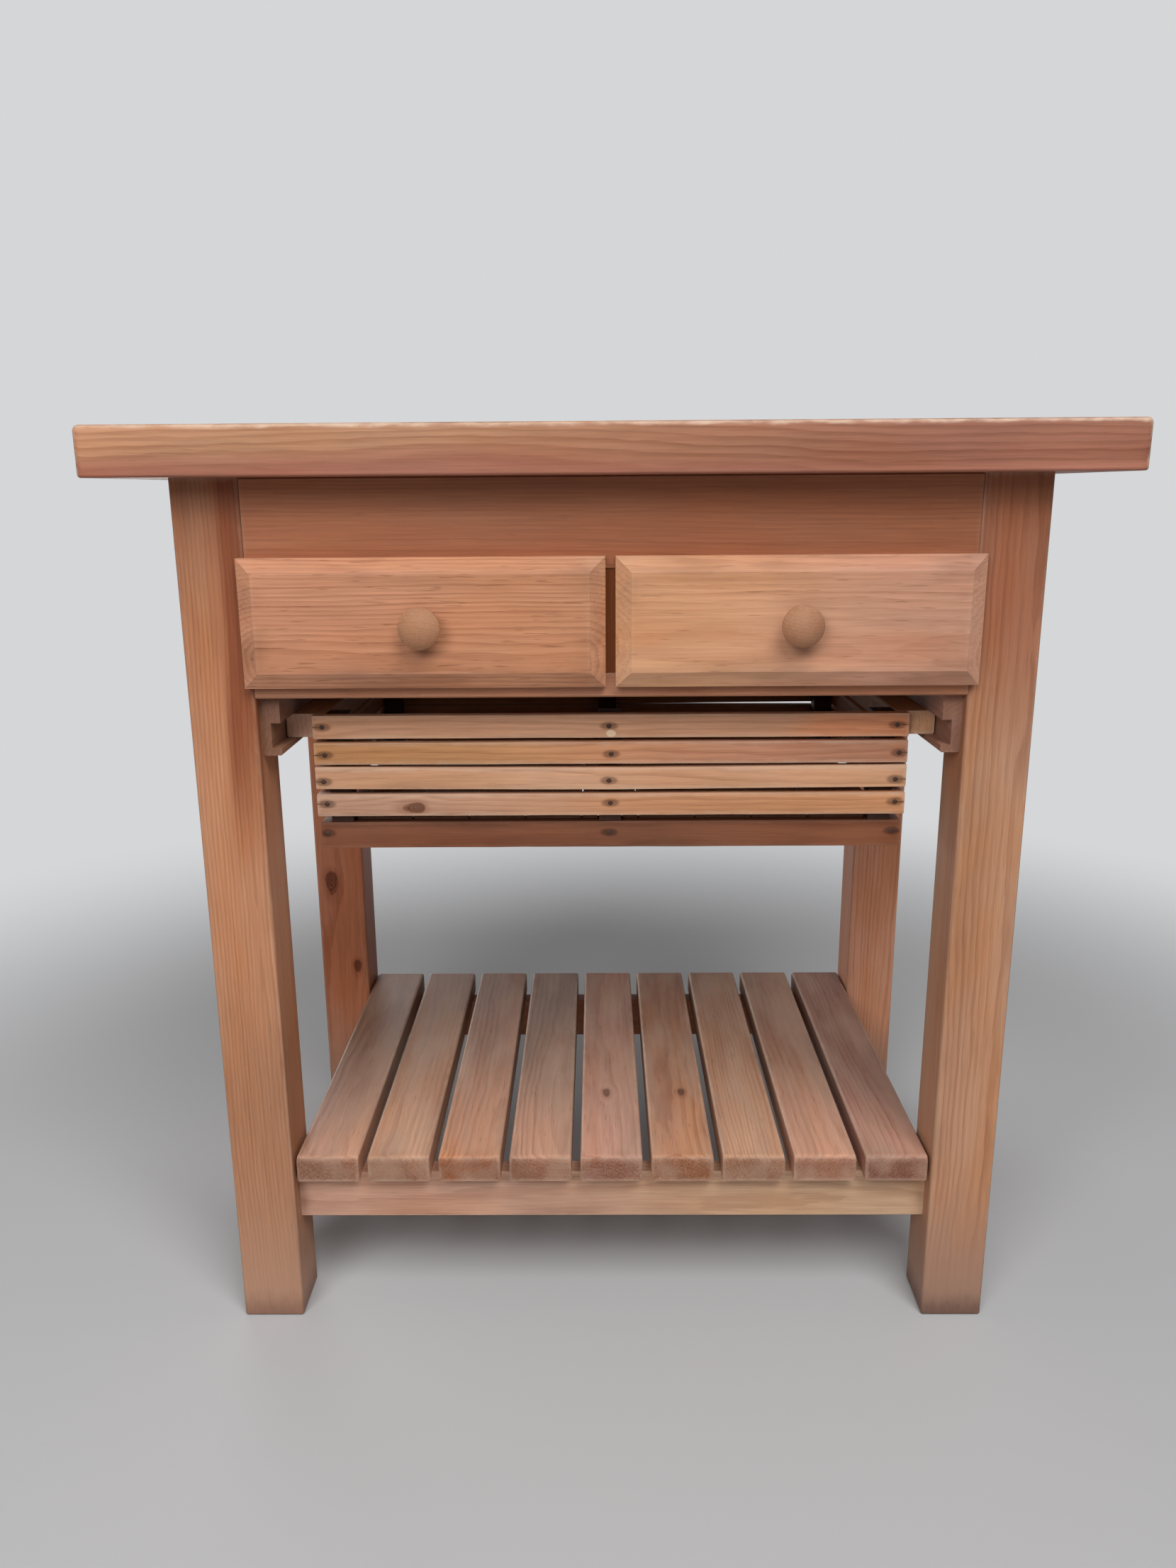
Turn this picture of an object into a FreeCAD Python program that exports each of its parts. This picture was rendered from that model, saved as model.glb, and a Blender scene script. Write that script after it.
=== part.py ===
"""A pine kitchen table with two drawers, a slatted pull-out crate and a slatted shelf.

Millimetres, +Z up. The origin is on the floor under the middle of the table, and the front faces -Y.
"""
import FreeCAD, Part
import os
import re
import Sketcher

# Driving dimensions, each written once and kept in a cell of its own
SIZES = [
    # Table top
    ("table_height", 900),
    ("top_length", 900),
    ("top_depth", 560),
    ("top_thickness", 43),
    ("top_arris", 5),
    ("top_lower_arris", 2.5),
    ("top_corner_extra", 2),
    # Legs and frame
    ("end_overhang", 62.5),
    ("edge_overhang", 42),
    ("leg_width", 62),
    ("leg_arris", 3),
    ("rail_thickness", 24),
    ("upper_rail_height", 81),
    ("lower_rail_height", 23),
    ("opening_height", 92),
    ("divider_width", 28),
    ("apron_thickness", 22),
    ("apron_setback", 4),
    ("rail_arris", 1.5),
    # Mortises and tenons
    ("tenon_thickness", 10),
    ("tenon_shoulder", 5),
    ("tenon_spare", 1),
    ("divider_tenon", 8),
    # Buttons that hold the top down
    ("button_length", 38),
    ("button_width", 28),
    ("button_thickness", 20),
    ("button_groove_height", 9),
    ("button_groove_depth", 9),
    # Drawer runners and kickers
    ("runner_spare", 3),
    ("runner_ledge", 30),
    ("guide_height", 26),
    ("kicker_thickness", 18),
    # Drawers
    ("overlay", 12),
    ("side_overlay", 5.5),
    ("drawer_gap", 9),
    ("front_thickness", 18),
    ("front_lip", 10),
    ("front_bevel", 14),
    ("drawer_back_space", 30),
    ("drawer_side_thickness", 13),
    ("drawer_side_clearance", 1.5),
    ("drawer_top_clearance", 5),
    ("slide_clearance", 0.3),
    ("housing_depth", 6),
    ("bottom_thickness", 7),
    ("bottom_rise", 8),
    ("bottom_groove_depth", 6),
    ("drawer_back_drop", 6),
    ("drawer_arris", 1.2),
    # Knobs
    ("knob_diameter", 37),
    ("knob_neck", 18),
    ("knob_neck_length", 4),
    ("knob_rim", 2.5),
    ("knob_projection", 24),
    ("knob_spigot", 10),
    ("knob_spigot_length", 12),
    ("knob_spigot_clearance", 0.1),
    ("knob_drop", 2),
    # Crate runners
    ("crate_runner_height", 56),
    ("crate_runner_thickness", 18),
    ("crate_runner_setback", 12),
    ("crate_runner_lip", 7),
    ("crate_tongue", 7.5),
    ("crate_tongue_clearance", 1.5),
    ("crate_groove_play", 0.5),
    # Crate
    ("crate_reveal", 19.5),
    ("crate_setback", 50),
    ("crate_back_space", 80),
    ("crate_rail_height", 23),
    ("crate_slat_height", 22),
    ("crate_slat_gap", 3.9),
    ("crate_slat_thickness", 11),
    ("crate_bottom_gap", 9),
    ("crate_bottom_rail_height", 27),
    ("crate_post_width", 22),
    ("crate_floor_thickness", 10),
    ("crate_floor_gap", 1.5),
    ("crate_arris", 1.2),
    # Shelf
    ("shelf_height", 185),
    ("shelf_slat_thickness", 27),
    ("shelf_slat_gap", 9.2),
    ("shelf_side_gap", 2.5),
    ("shelf_slat_setback", 4),
    ("shelf_end_round", 7),
    ("shelf_arris", 3),
    ("shelf_rail_height", 52),
    ("shelf_rail_thickness", 22),
    ("shelf_rail_setback", 20),
]

# Counts of repeated pieces
TOP_BOARDS = 4
SHELF_SLATS = 9
CRATE_SLATS_UNDER_RAIL = 3
CRATE_FLOOR_SLATS = 9

# Shares of a length
BUTTON_PLACE_SHARE = 0.25
DIAGONAL_SHARE = 0.5**0.5

# Places worked out from the driving dimensions
LEG_LENGTH = "(table_height - top_thickness)"
LEG_OUTER = "(top_length / 2 - end_overhang)"
LEG_INNER = f"({LEG_OUTER} - leg_width)"
FRAME_DEPTH = "(top_depth - 2 * edge_overhang)"
FRONT = f"(-{FRAME_DEPTH} / 2)"
BACK = f"({FRAME_DEPTH} / 2)"
CLEAR_LENGTH = f"(2 * {LEG_INNER})"
CLEAR_DEPTH = f"({FRAME_DEPTH} - 2 * leg_width)"
TENON_LENGTH = "(leg_width / 2 - tenon_spare)"

OPENING_TOP = f"({LEG_LENGTH} - upper_rail_height)"
OPENING_BOTTOM = f"({OPENING_TOP} - opening_height)"
APRON_BOTTOM = f"({OPENING_BOTTOM} - lower_rail_height)"
APRON_HEIGHT = f"({LEG_LENGTH} - {APRON_BOTTOM})"
APRON_FACE = f"({LEG_OUTER} - apron_setback - apron_thickness)"
BACK_APRON_FACE = f"({BACK} - apron_setback - apron_thickness)"
RUNNER_FRONT = f"({FRONT} + rail_thickness)"
RUNNER_LENGTH = f"({BACK_APRON_FACE} - {RUNNER_FRONT})"
RUNNER_THICKNESS = "(lower_rail_height - runner_spare)"

SHELF_UNDERSIDE = "(shelf_height - shelf_slat_thickness)"
SHELF_RAIL_BOTTOM = f"({SHELF_UNDERSIDE} - shelf_rail_height)"

DRAWER_DEPTH = f"({BACK_APRON_FACE} - {FRONT} - drawer_back_space)"
BOX_BOTTOM = f"({OPENING_BOTTOM} + slide_clearance)"
BOX_HEIGHT = "(opening_height - slide_clearance - drawer_top_clearance)"
BOX_OUTER = f"({LEG_INNER} - drawer_side_clearance)"
BOX_INNER = "(divider_width / 2 + drawer_side_clearance)"
BOX_CLEAR = f"({BOX_OUTER} - {BOX_INNER} - 2 * drawer_side_thickness)"
FRONT_WIDTH = f"({LEG_INNER} + side_overlay - drawer_gap / 2)"
FRONT_HEIGHT = "(opening_height + 2 * overlay)"

RUNNER_FACE = f"({LEG_INNER} - crate_runner_thickness)"
CRATE_RAIL_BOTTOM = f"({APRON_BOTTOM} - crate_runner_height + crate_runner_lip + slide_clearance)"
CRATE_RAIL_TOP = f"({CRATE_RAIL_BOTTOM} + crate_rail_height)"
CRATE_FRONT = f"({FRONT} + crate_setback)"
CRATE_FRAME_FRONT = f"({CRATE_FRONT} + crate_slat_thickness)"
CRATE_BACK = f"({BACK} - crate_back_space)"
CRATE_FRAME_BACK = f"({CRATE_BACK} - crate_slat_thickness)"
CRATE_FRAME_DEPTH = f"({CRATE_FRAME_BACK} - {CRATE_FRAME_FRONT})"
CRATE_SLAT_END = f"({RUNNER_FACE} - crate_reveal)"
CRATE_HALF = f"({CRATE_SLAT_END} - crate_slat_thickness)"
CRATE_LOWEST_SLAT = (
    f"({CRATE_RAIL_BOTTOM} - {CRATE_SLATS_UNDER_RAIL} * (crate_slat_height + crate_slat_gap))"
)
CRATE_BOTTOM_RAIL_TOP = f"({CRATE_LOWEST_SLAT} - crate_bottom_gap)"
CRATE_POST_HEIGHT = f"({CRATE_RAIL_TOP} - {CRATE_BOTTOM_RAIL_TOP})"

ORIGIN = ("0", "0", "0")
SIZE_NAMES = {alias for alias, value in SIZES}
PROFILE_PLANE = {"x": "YZ_Plane", "y": "XZ_Plane", "z": "XY_Plane"}
LEFT_TO_RIGHT = FreeCAD.Vector(1, 0, 0)
FRONT_TO_BACK = FreeCAD.Vector(0, 1, 0)
# Two levels this close are the same, and a sketch line has the start length until its dimensions are set
TOUCHING = 1e-6
START = 1

doc = FreeCAD.newDocument("kitchen_table")
sheet = doc.addObject("Spreadsheet::Sheet", "Sizes")
parts = []


def fill_sheet():
    """Write each driving dimension into a named cell."""
    for row, (alias, value) in enumerate(SIZES, start=1):
        sheet.set(f"A{row}", alias)
        sheet.set(f"B{row}", str(value))
        sheet.setAlias(f"B{row}", alias)
    doc.recompute()


def on_sheet(text):
    """Turn a sum of size names into an expression on the sheet's cells."""
    return re.sub(r"[a-z]\w*", lambda word: f"Sizes.{word[0]}" if word[0] in SIZE_NAMES else word[0], text)


def bind(target, path, text):
    target.setExpression(path, on_sheet(text))


def place(piece, at):
    for axis, text in zip("xyz", at):
        bind(piece, f"Placement.Base.{axis}", text)


def keep(piece):
    """Count a finished piece among the table's nodes."""
    parts.append(piece)
    return piece


def mirrored(label, source, normal):
    """The opposite-hand twin of a piece."""
    twin = doc.addObject("Part::Mirroring", label)
    twin.Source = source
    twin.Base = FreeCAD.Vector(0, 0, 0)
    twin.Normal = normal
    return keep(twin)


def group(label, pieces):
    """Separate like pieces that share one node."""
    together = doc.addObject("Part::Compound", label)
    together.Links = pieces
    return keep(together)


# Sketches, pads and pockets


def sketch_on(body, name, role, offset):
    """An empty sketch on one of the body's own origin planes, moved by an offset in the sketch's axes."""
    sketch = body.newObject("Sketcher::SketchObject", name)
    plane = [feature for feature in body.Origin.OriginFeatures if feature.Role == role][0]
    sketch.AttachmentSupport = [(plane, "")]
    sketch.MapMode = "FlatFace"
    for axis, text in zip("xyz", offset):
        bind(sketch, f"AttachmentOffset.Base.{axis}", text)
    return sketch


def dimension(sketch, kind, references, text):
    """Add a dimension whose value follows the sheet."""
    start = sheet.evalExpression(on_sheet(text))
    number = sketch.addConstraint(Sketcher.Constraint(kind, *references, float(start)))
    sketch.setExpression(f"Constraints[{number}]", on_sheet(text))


def rectangle(body, name, role, wide, tall, offset):
    """A rectangle with its lower left corner on the sketch's origin."""
    sketch = sketch_on(body, name, role, offset)
    corners = [FreeCAD.Vector(START * u, START * v) for u, v in ((0, 0), (1, 0), (1, 1), (0, 1))]
    for first, second in zip(corners, corners[1:] + corners[:1]):
        sketch.addGeometry(Part.LineSegment(first, second), False)
    for line in range(4):
        sketch.addConstraint(Sketcher.Constraint("Coincident", line, 2, (line + 1) % 4, 1))
        sketch.addConstraint(Sketcher.Constraint(("Horizontal", "Vertical")[line % 2], line))
    sketch.addConstraint(Sketcher.Constraint("Coincident", 0, 1, -1, 1))
    dimension(sketch, "DistanceX", (0, 1, 0, 2), wide)
    dimension(sketch, "DistanceY", (1, 1, 1, 2), tall)
    return sketch


def block_sketch(body, name, role, at, size, cut):
    """The rectangle that a block is padded or cut from, and the block's length square to it."""
    x, y, z = at
    wide, deep, tall = size
    if role == "XY_Plane":
        level = f"{z} + {tall}" if cut else z
        return rectangle(body, name, role, wide, deep, (x, y, level)), tall
    if role == "XZ_Plane":
        level = y if cut else f"{y} + {deep}"
        return rectangle(body, name, role, wide, tall, (x, z, f"-({level})")), deep
    level = f"{x} + {wide}" if cut else x
    return rectangle(body, name, role, deep, tall, (y, z, level)), wide


def add_block(body, name, role, at, size):
    """Pad a rectangular block whose lowest corner is at the given place in the body."""
    sketch, length = block_sketch(body, f"{name}_outline", role, at, size, cut=False)
    pad = body.newObject("PartDesign::Pad", name)
    pad.Profile = sketch
    bind(pad, "Length", length)


def pocket(body, name, sketch, length):
    """Cut a sketch into the body, and make sure that it takes wood away."""
    doc.recompute()
    before = body.Shape.Volume
    cut = body.newObject("PartDesign::Pocket", name)
    cut.Profile = sketch
    bind(cut, "Length", length)
    doc.recompute()
    if not body.Shape.Volume < before:
        raise RuntimeError(f"{name} cuts nothing")


def cut_block(body, name, role, at, size):
    """Cut a rectangular block whose lowest corner is at the given place in the body."""
    sketch, length = block_sketch(body, f"{name}_outline", role, at, size, cut=True)
    pocket(body, name, sketch, length)


# Edges


def lies_on(edge, box, side):
    level = getattr(box, f"{side[0].upper()}{'Max' if side[1] == '+' else 'Min'}")
    return all(abs(vertex.Point["xyz".index(side[0])] - level) < TOUCHING for vertex in edge.Vertexes)


def ease(body, sides, size, kind="Fillet"):
    """Round or bevel the edges where pairs of sides meet, such as y- with z+ for the upper front edge."""
    doc.recompute()
    feature = body.Tip
    box = feature.Shape.BoundBox
    edges = [
        f"Edge{number}"
        for number, edge in enumerate(feature.Shape.Edges, start=1)
        if any(all(lies_on(edge, box, side) for side in pair) for pair in sides)
    ]
    eased = body.newObject(f"PartDesign::{kind}", f"{feature.Name}_{kind.lower()}")
    eased.Base = (feature, edges)
    bind(eased, {"Fillet": "Radius", "Chamfer": "Size"}[kind], size)


def long_edges(grain):
    first, second = [axis for axis in "xyz" if axis != grain]
    return [(first + a, second + b) for a in "-+" for b in "-+"]


def plain_board(label, at, size, grain):
    """A sawn board, padded along its grain."""
    body = doc.addObject("PartDesign::Body", label)
    place(body, at)
    add_block(body, f"{label}_board", PROFILE_PLANE[grain], ORIGIN, size)
    return body


def board(label, at, size, grain, arris):
    """A sawn board with its long edges taken off."""
    body = plain_board(label, at, size, grain)
    ease(body, long_edges(grain), arris, "Chamfer")
    return body


def add_tenons(body, grain, size):
    """Tenons at both ends of a board, centred in its thickness, to reach the middle of the legs."""
    wide, deep, tall = size
    height = f"{tall} - 2 * tenon_shoulder"
    if grain == "x":
        at = (f"-{TENON_LENGTH}", f"({deep} - tenon_thickness) / 2", "tenon_shoulder")
        through = (f"{wide} + 2 * {TENON_LENGTH}", "tenon_thickness", height)
    else:
        at = (f"({wide} - tenon_thickness) / 2", f"-{TENON_LENGTH}", "tenon_shoulder")
        through = ("tenon_thickness", f"{deep} + 2 * {TENON_LENGTH}", height)
    add_block(body, f"{body.Name}_tenons", PROFILE_PLANE[grain], at, through)


# Table top and frame


def table_top():
    """Edge-glued boards along the table, with a rounded arris round the outside of the panel."""
    depth = f"(top_depth / {TOP_BOARDS})"
    for number in range(TOP_BOARDS):
        at = ("-top_length / 2", f"-top_depth / 2 + {number} * {depth}", LEG_LENGTH)
        size = ("top_length", depth, "top_thickness")
        body = plain_board(f"table_top_board_{number + 1}", at, size, "x")
        outer = {0: "y-", TOP_BOARDS - 1: "y+"}.get(number)
        if outer:
            ease(body, [("x-", outer), ("x+", outer)], "top_arris + top_corner_extra")
        edges = ["x-", "x+"] + ([outer] if outer else [])
        ease(body, [(edge, "z+") for edge in edges], "top_arris")
        ease(body, [(edge, "z-") for edge in edges], "top_lower_arris")
        keep(body)


def leg(label, row):
    """A left leg with its mortises: the rails enter its inner side, the side apron its back or front."""
    y = FRONT if row == "front" else f"{BACK} - leg_width"
    body = plain_board(label, (f"-{LEG_OUTER}", y, "0"), ("leg_width", "leg_width", LEG_LENGTH), "z")
    ease(body, long_edges("z") + [(side, "z-") for side in ("x-", "x+", "y-", "y+")], "leg_arris")

    if row == "front":
        upper = ("(rail_thickness - tenon_thickness) / 2", OPENING_TOP, "upper_rail_height")
        lower = ("(rail_thickness - tenon_thickness) / 2", APRON_BOTTOM, "lower_rail_height")
        shelf_y = "shelf_rail_setback + (shelf_rail_thickness - tenon_thickness) / 2"
        mortises = [("upper_rail", *upper), ("lower_rail", *lower)]
    else:
        inset = "leg_width - apron_setback - (apron_thickness + tenon_thickness) / 2"
        shelf_y = "leg_width - shelf_rail_setback - (shelf_rail_thickness + tenon_thickness) / 2"
        mortises = [("back_apron", inset, APRON_BOTTOM, APRON_HEIGHT)]
    mortises.append(("shelf_rail", shelf_y, SHELF_RAIL_BOTTOM, "shelf_rail_height"))
    for name, y, bottom, height in mortises:
        at = ("leg_width / 2", y, f"{bottom} + tenon_shoulder")
        size = ("leg_width / 2", "tenon_thickness", f"{height} - 2 * tenon_shoulder")
        cut_block(body, f"{label}_{name}_mortise", "YZ_Plane", at, size)

    x = "apron_setback + (apron_thickness - tenon_thickness) / 2"
    y = "leg_width / 2" if row == "front" else "0"
    at = (x, y, f"{APRON_BOTTOM} + tenon_shoulder")
    size = ("tenon_thickness", "leg_width / 2", f"{APRON_HEIGHT} - 2 * tenon_shoulder")
    cut_block(body, f"{label}_side_apron_mortise", "XZ_Plane", at, size)
    return keep(body)


def legs():
    for row in ("front", "back"):
        mirrored(f"leg_{row}_right", leg(f"leg_{row}_left", row), LEFT_TO_RIGHT)


def front_rails():
    """The rail over the drawers, the rail under them and the divider that is tenoned between the two."""
    tenon_x = f"{CLEAR_LENGTH} / 2 - divider_width / 2 + tenon_shoulder"
    tenon_y = "(rail_thickness - tenon_thickness) / 2"
    mortise = ("divider_width - 2 * tenon_shoulder", "tenon_thickness", "divider_tenon + tenon_spare")

    size = (CLEAR_LENGTH, "rail_thickness", "upper_rail_height")
    upper = board("front_upper_rail", (f"-{LEG_INNER}", FRONT, OPENING_TOP), size, "x", "rail_arris")
    add_tenons(upper, "x", size)
    cut_block(upper, "upper_divider_mortise", "XY_Plane", (tenon_x, tenon_y, "0"), mortise)
    cut_button_groove(upper, "XZ_Plane", "rail_thickness - button_groove_depth", "upper_rail_height")
    keep(upper)

    size = (CLEAR_LENGTH, "rail_thickness", "lower_rail_height")
    lower = board("front_lower_rail", (f"-{LEG_INNER}", FRONT, APRON_BOTTOM), size, "x", "rail_arris")
    add_tenons(lower, "x", size)
    at = (tenon_x, tenon_y, "lower_rail_height - divider_tenon - tenon_spare")
    cut_block(lower, "lower_divider_mortise", "XY_Plane", at, mortise)
    keep(lower)

    size = ("divider_width", "rail_thickness", "opening_height")
    divider = board("drawer_divider", ("-divider_width / 2", FRONT, OPENING_BOTTOM), size, "z", "rail_arris")
    at = ("tenon_shoulder", tenon_y, "-divider_tenon")
    through = ("divider_width - 2 * tenon_shoulder", "tenon_thickness", "opening_height + 2 * divider_tenon")
    add_block(divider, "divider_tenons", "XY_Plane", at, through)
    keep(divider)


def cut_button_groove(body, role, level, height):
    """The groove along the inner face of a rail or apron that takes the tongues of the buttons."""
    bottom = f"{height} - button_thickness"
    if role == "XZ_Plane":
        at = ("0", level, bottom)
        size = (CLEAR_LENGTH, "button_groove_depth", "button_groove_height")
    else:
        at = (level, "0", bottom)
        size = ("button_groove_depth", CLEAR_DEPTH, "button_groove_height")
    cut_block(body, f"{body.Name}_button_groove", role, at, size)


def aprons():
    size = ("apron_thickness", CLEAR_DEPTH, APRON_HEIGHT)
    at = (f"-{LEG_OUTER} + apron_setback", f"{FRONT} + leg_width", APRON_BOTTOM)
    side = board("side_apron_left", at, size, "y", "rail_arris")
    add_tenons(side, "y", size)
    cut_button_groove(side, "YZ_Plane", "apron_thickness - button_groove_depth", APRON_HEIGHT)
    mirrored("side_apron_right", keep(side), LEFT_TO_RIGHT)

    size = (CLEAR_LENGTH, "apron_thickness", APRON_HEIGHT)
    back = board("back_apron", (f"-{LEG_INNER}", BACK_APRON_FACE, APRON_BOTTOM), size, "x", "rail_arris")
    add_tenons(back, "x", size)
    cut_button_groove(back, "XZ_Plane", "0", APRON_HEIGHT)
    keep(back)


def button(number, at, tongue):
    """A wooden button: a block under the top with a tongue in the groove of the apron beside it."""
    body = doc.addObject("PartDesign::Body", f"top_button_{number}")
    place(body, at)
    length, width = "button_length", "button_width"
    reach = "(button_groove_depth - tenon_spare)"
    along_x = tongue[0] == "x"
    size = (length, width, "button_thickness") if along_x else (width, length, "button_thickness")
    add_block(body, f"top_button_{number}_block", "XY_Plane", ORIGIN, size)
    start = f"-{reach}" if tongue[1] == "-" else length
    place_of_tongue = (start, "0", "0") if along_x else ("0", start, "0")
    size = (reach, width, "button_groove_height") if along_x else (width, reach, "button_groove_height")
    add_block(body, f"top_button_{number}_tongue", "XY_Plane", place_of_tongue, size)
    return body


def top_buttons():
    level = f"{LEG_LENGTH} - button_thickness"
    seats = []
    for side in "-+":
        x = f"{side}{BUTTON_PLACE_SHARE} * {CLEAR_LENGTH} - button_width / 2"
        y = f"{side}{BUTTON_PLACE_SHARE} * {CLEAR_DEPTH} - button_width / 2"
        seats.append(((x, RUNNER_FRONT, level), "y-"))
        seats.append(((x, f"{BACK_APRON_FACE} - button_length", level), "y+"))
        seats.append(((f"-{APRON_FACE}", y, level), "x-"))
        seats.append(((f"{APRON_FACE} - button_length", y, level), "x+"))
    group("top_buttons", [button(number, *seat) for number, seat in enumerate(seats, start=1)])


# Drawer runners and kickers


def side_strip(label, bottom, thickness):
    """A strip beside the left drawer, as wide as the space to the apron and notched round the two legs."""
    at = (f"-{LEG_INNER}", RUNNER_FRONT, bottom)
    body = plain_board(label, at, ("runner_ledge", RUNNER_LENGTH, thickness), "y")
    add_wing(body, f"{label}_wing", "0", thickness)
    return body


def add_wing(body, name, bottom, thickness):
    """A block between the two left legs that fills the width from the legs' inner faces to the apron."""
    at = (f"{LEG_INNER} - {APRON_FACE}", "leg_width - rail_thickness", bottom)
    add_block(body, name, "XZ_Plane", at, (f"{APRON_FACE} - {LEG_INNER}", CLEAR_DEPTH, thickness))


def centre_strip(label, bottom, thickness):
    """A strip along the middle of the table that serves both drawers."""
    width = "(divider_width + 2 * runner_ledge)"
    at = (f"-{width} / 2", RUNNER_FRONT, bottom)
    return plain_board(label, at, (width, RUNNER_LENGTH, thickness), "y")


def drawer_runners():
    """Runners level with the lower rail, each with a guide that keeps the drawers straight."""
    bottom = f"{OPENING_BOTTOM} - {RUNNER_THICKNESS}"
    body = side_strip("drawer_runner_left", bottom, RUNNER_THICKNESS)
    add_wing(body, "drawer_runner_left_guide", RUNNER_THICKNESS, "guide_height")
    mirrored("drawer_runner_right", keep(body), LEFT_TO_RIGHT)

    body = centre_strip("drawer_runner_centre", bottom, RUNNER_THICKNESS)
    size = ("divider_width", RUNNER_LENGTH, "guide_height")
    add_block(body, "drawer_runner_centre_guide", "XZ_Plane", ("runner_ledge", "0", RUNNER_THICKNESS), size)
    keep(body)


def drawer_kickers():
    """Strips over the drawer sides that keep an open drawer from tipping."""
    left = side_strip("drawer_kicker_left", OPENING_TOP, "kicker_thickness")
    mirrored("drawer_kicker_right", keep(left), LEFT_TO_RIGHT)
    keep(centre_strip("drawer_kicker_centre", OPENING_TOP, "kicker_thickness"))


# Drawers


def drawer_front():
    """An overlay front with a raised field: a lip of even thickness and a bevel all round."""
    body = doc.addObject("PartDesign::Body", "drawer_left_front")
    place(body, (f"-{LEG_INNER} - side_overlay", f"{FRONT} - front_thickness", f"{OPENING_BOTTOM} - overlay"))
    level = "front_thickness - front_lip"
    lip = (FRONT_WIDTH, "front_lip", FRONT_HEIGHT)
    add_block(body, "drawer_left_front_lip", "XZ_Plane", ("0", level, "0"), lip)
    outer = rectangle(body, "bevel_foot", "XZ_Plane", FRONT_WIDTH, FRONT_HEIGHT, ("0", "0", f"-({level})"))
    inset = (f"{FRONT_WIDTH} - 2 * front_bevel", f"{FRONT_HEIGHT} - 2 * front_bevel")
    field = rectangle(body, "raised_field", "XZ_Plane", *inset, ("front_bevel", "front_bevel", "0"))
    bevel = body.newObject("PartDesign::AdditiveLoft", "front_bevel")
    bevel.Profile = outer
    bevel.Sections = [field]
    bevel.Ruled = True

    back = "front_thickness - housing_depth"
    bottom = "overlay + slide_clearance"
    for name, x in (
        ("outer", "side_overlay + drawer_side_clearance"),
        ("inner", f"{LEG_INNER} + side_overlay - {BOX_INNER} - drawer_side_thickness"),
    ):
        housing = ("drawer_side_thickness", "housing_depth", BOX_HEIGHT)
        cut_block(body, f"{name}_side_housing", "XZ_Plane", (x, back, bottom), housing)
    at = (
        "side_overlay + drawer_side_clearance + drawer_side_thickness",
        "front_thickness - bottom_groove_depth",
        f"{bottom} + bottom_rise",
    )
    groove = (BOX_CLEAR, "bottom_groove_depth", "bottom_thickness")
    cut_block(body, "front_bottom_groove", "XZ_Plane", at, groove)

    centre = (f"{FRONT_WIDTH} / 2", f"{FRONT_HEIGHT} / 2 - knob_drop", "0")
    hole = sketch_on(body, "knob_hole", "XZ_Plane", centre)
    hole.addGeometry(Part.Circle(FreeCAD.Vector(0, 0), FreeCAD.Vector(0, 0, 1), START), False)
    hole.addConstraint(Sketcher.Constraint("Coincident", 0, 3, -1, 1))
    dimension(hole, "Radius", (0,), "knob_spigot / 2 + knob_spigot_clearance")
    pocket(body, "knob_hole_cut", hole, "knob_spigot_length + tenon_spare")
    return keep(body)


def drawer_side(label, x, groove_x):
    """A drawer side, housed in the front, with a groove for the bottom along its inner face."""
    length = f"({DRAWER_DEPTH} + housing_depth)"
    at = (x, f"{FRONT} - housing_depth", BOX_BOTTOM)
    body = board(label, at, ("drawer_side_thickness", length, BOX_HEIGHT), "y", "drawer_arris")
    groove = ("bottom_groove_depth", length, "bottom_thickness")
    cut_block(body, f"{label}_groove", "YZ_Plane", (groove_x, "0", "bottom_rise"), groove)
    return keep(body)


def drawer_back():
    rise = "(bottom_rise + bottom_thickness)"
    at = (
        f"-{BOX_OUTER} + drawer_side_thickness",
        f"{FRONT} + {DRAWER_DEPTH} - drawer_side_thickness",
        f"{BOX_BOTTOM} + {rise}",
    )
    size = (BOX_CLEAR, "drawer_side_thickness", f"{BOX_HEIGHT} - {rise} - drawer_back_drop")
    return keep(board("drawer_left_back", at, size, "x", "drawer_arris"))


def drawer_bottom():
    """A thin panel in the grooves of the sides and the front, which runs out under the back."""
    inset = "drawer_side_thickness - bottom_groove_depth"
    body = doc.addObject("PartDesign::Body", "drawer_left_bottom")
    place(body, (f"-{BOX_OUTER} + {inset}", FRONT, f"{BOX_BOTTOM} + bottom_rise"))
    size = (f"{BOX_CLEAR} + 2 * bottom_groove_depth", DRAWER_DEPTH, "bottom_thickness")
    add_block(body, "drawer_left_bottom_panel", "XY_Plane", ORIGIN, size)
    at = ("bottom_groove_depth", "-bottom_groove_depth", "0")
    tongue = (BOX_CLEAR, "bottom_groove_depth", "bottom_thickness")
    add_block(body, "drawer_left_bottom_tongue", "XY_Plane", at, tongue)
    return keep(body)


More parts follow.
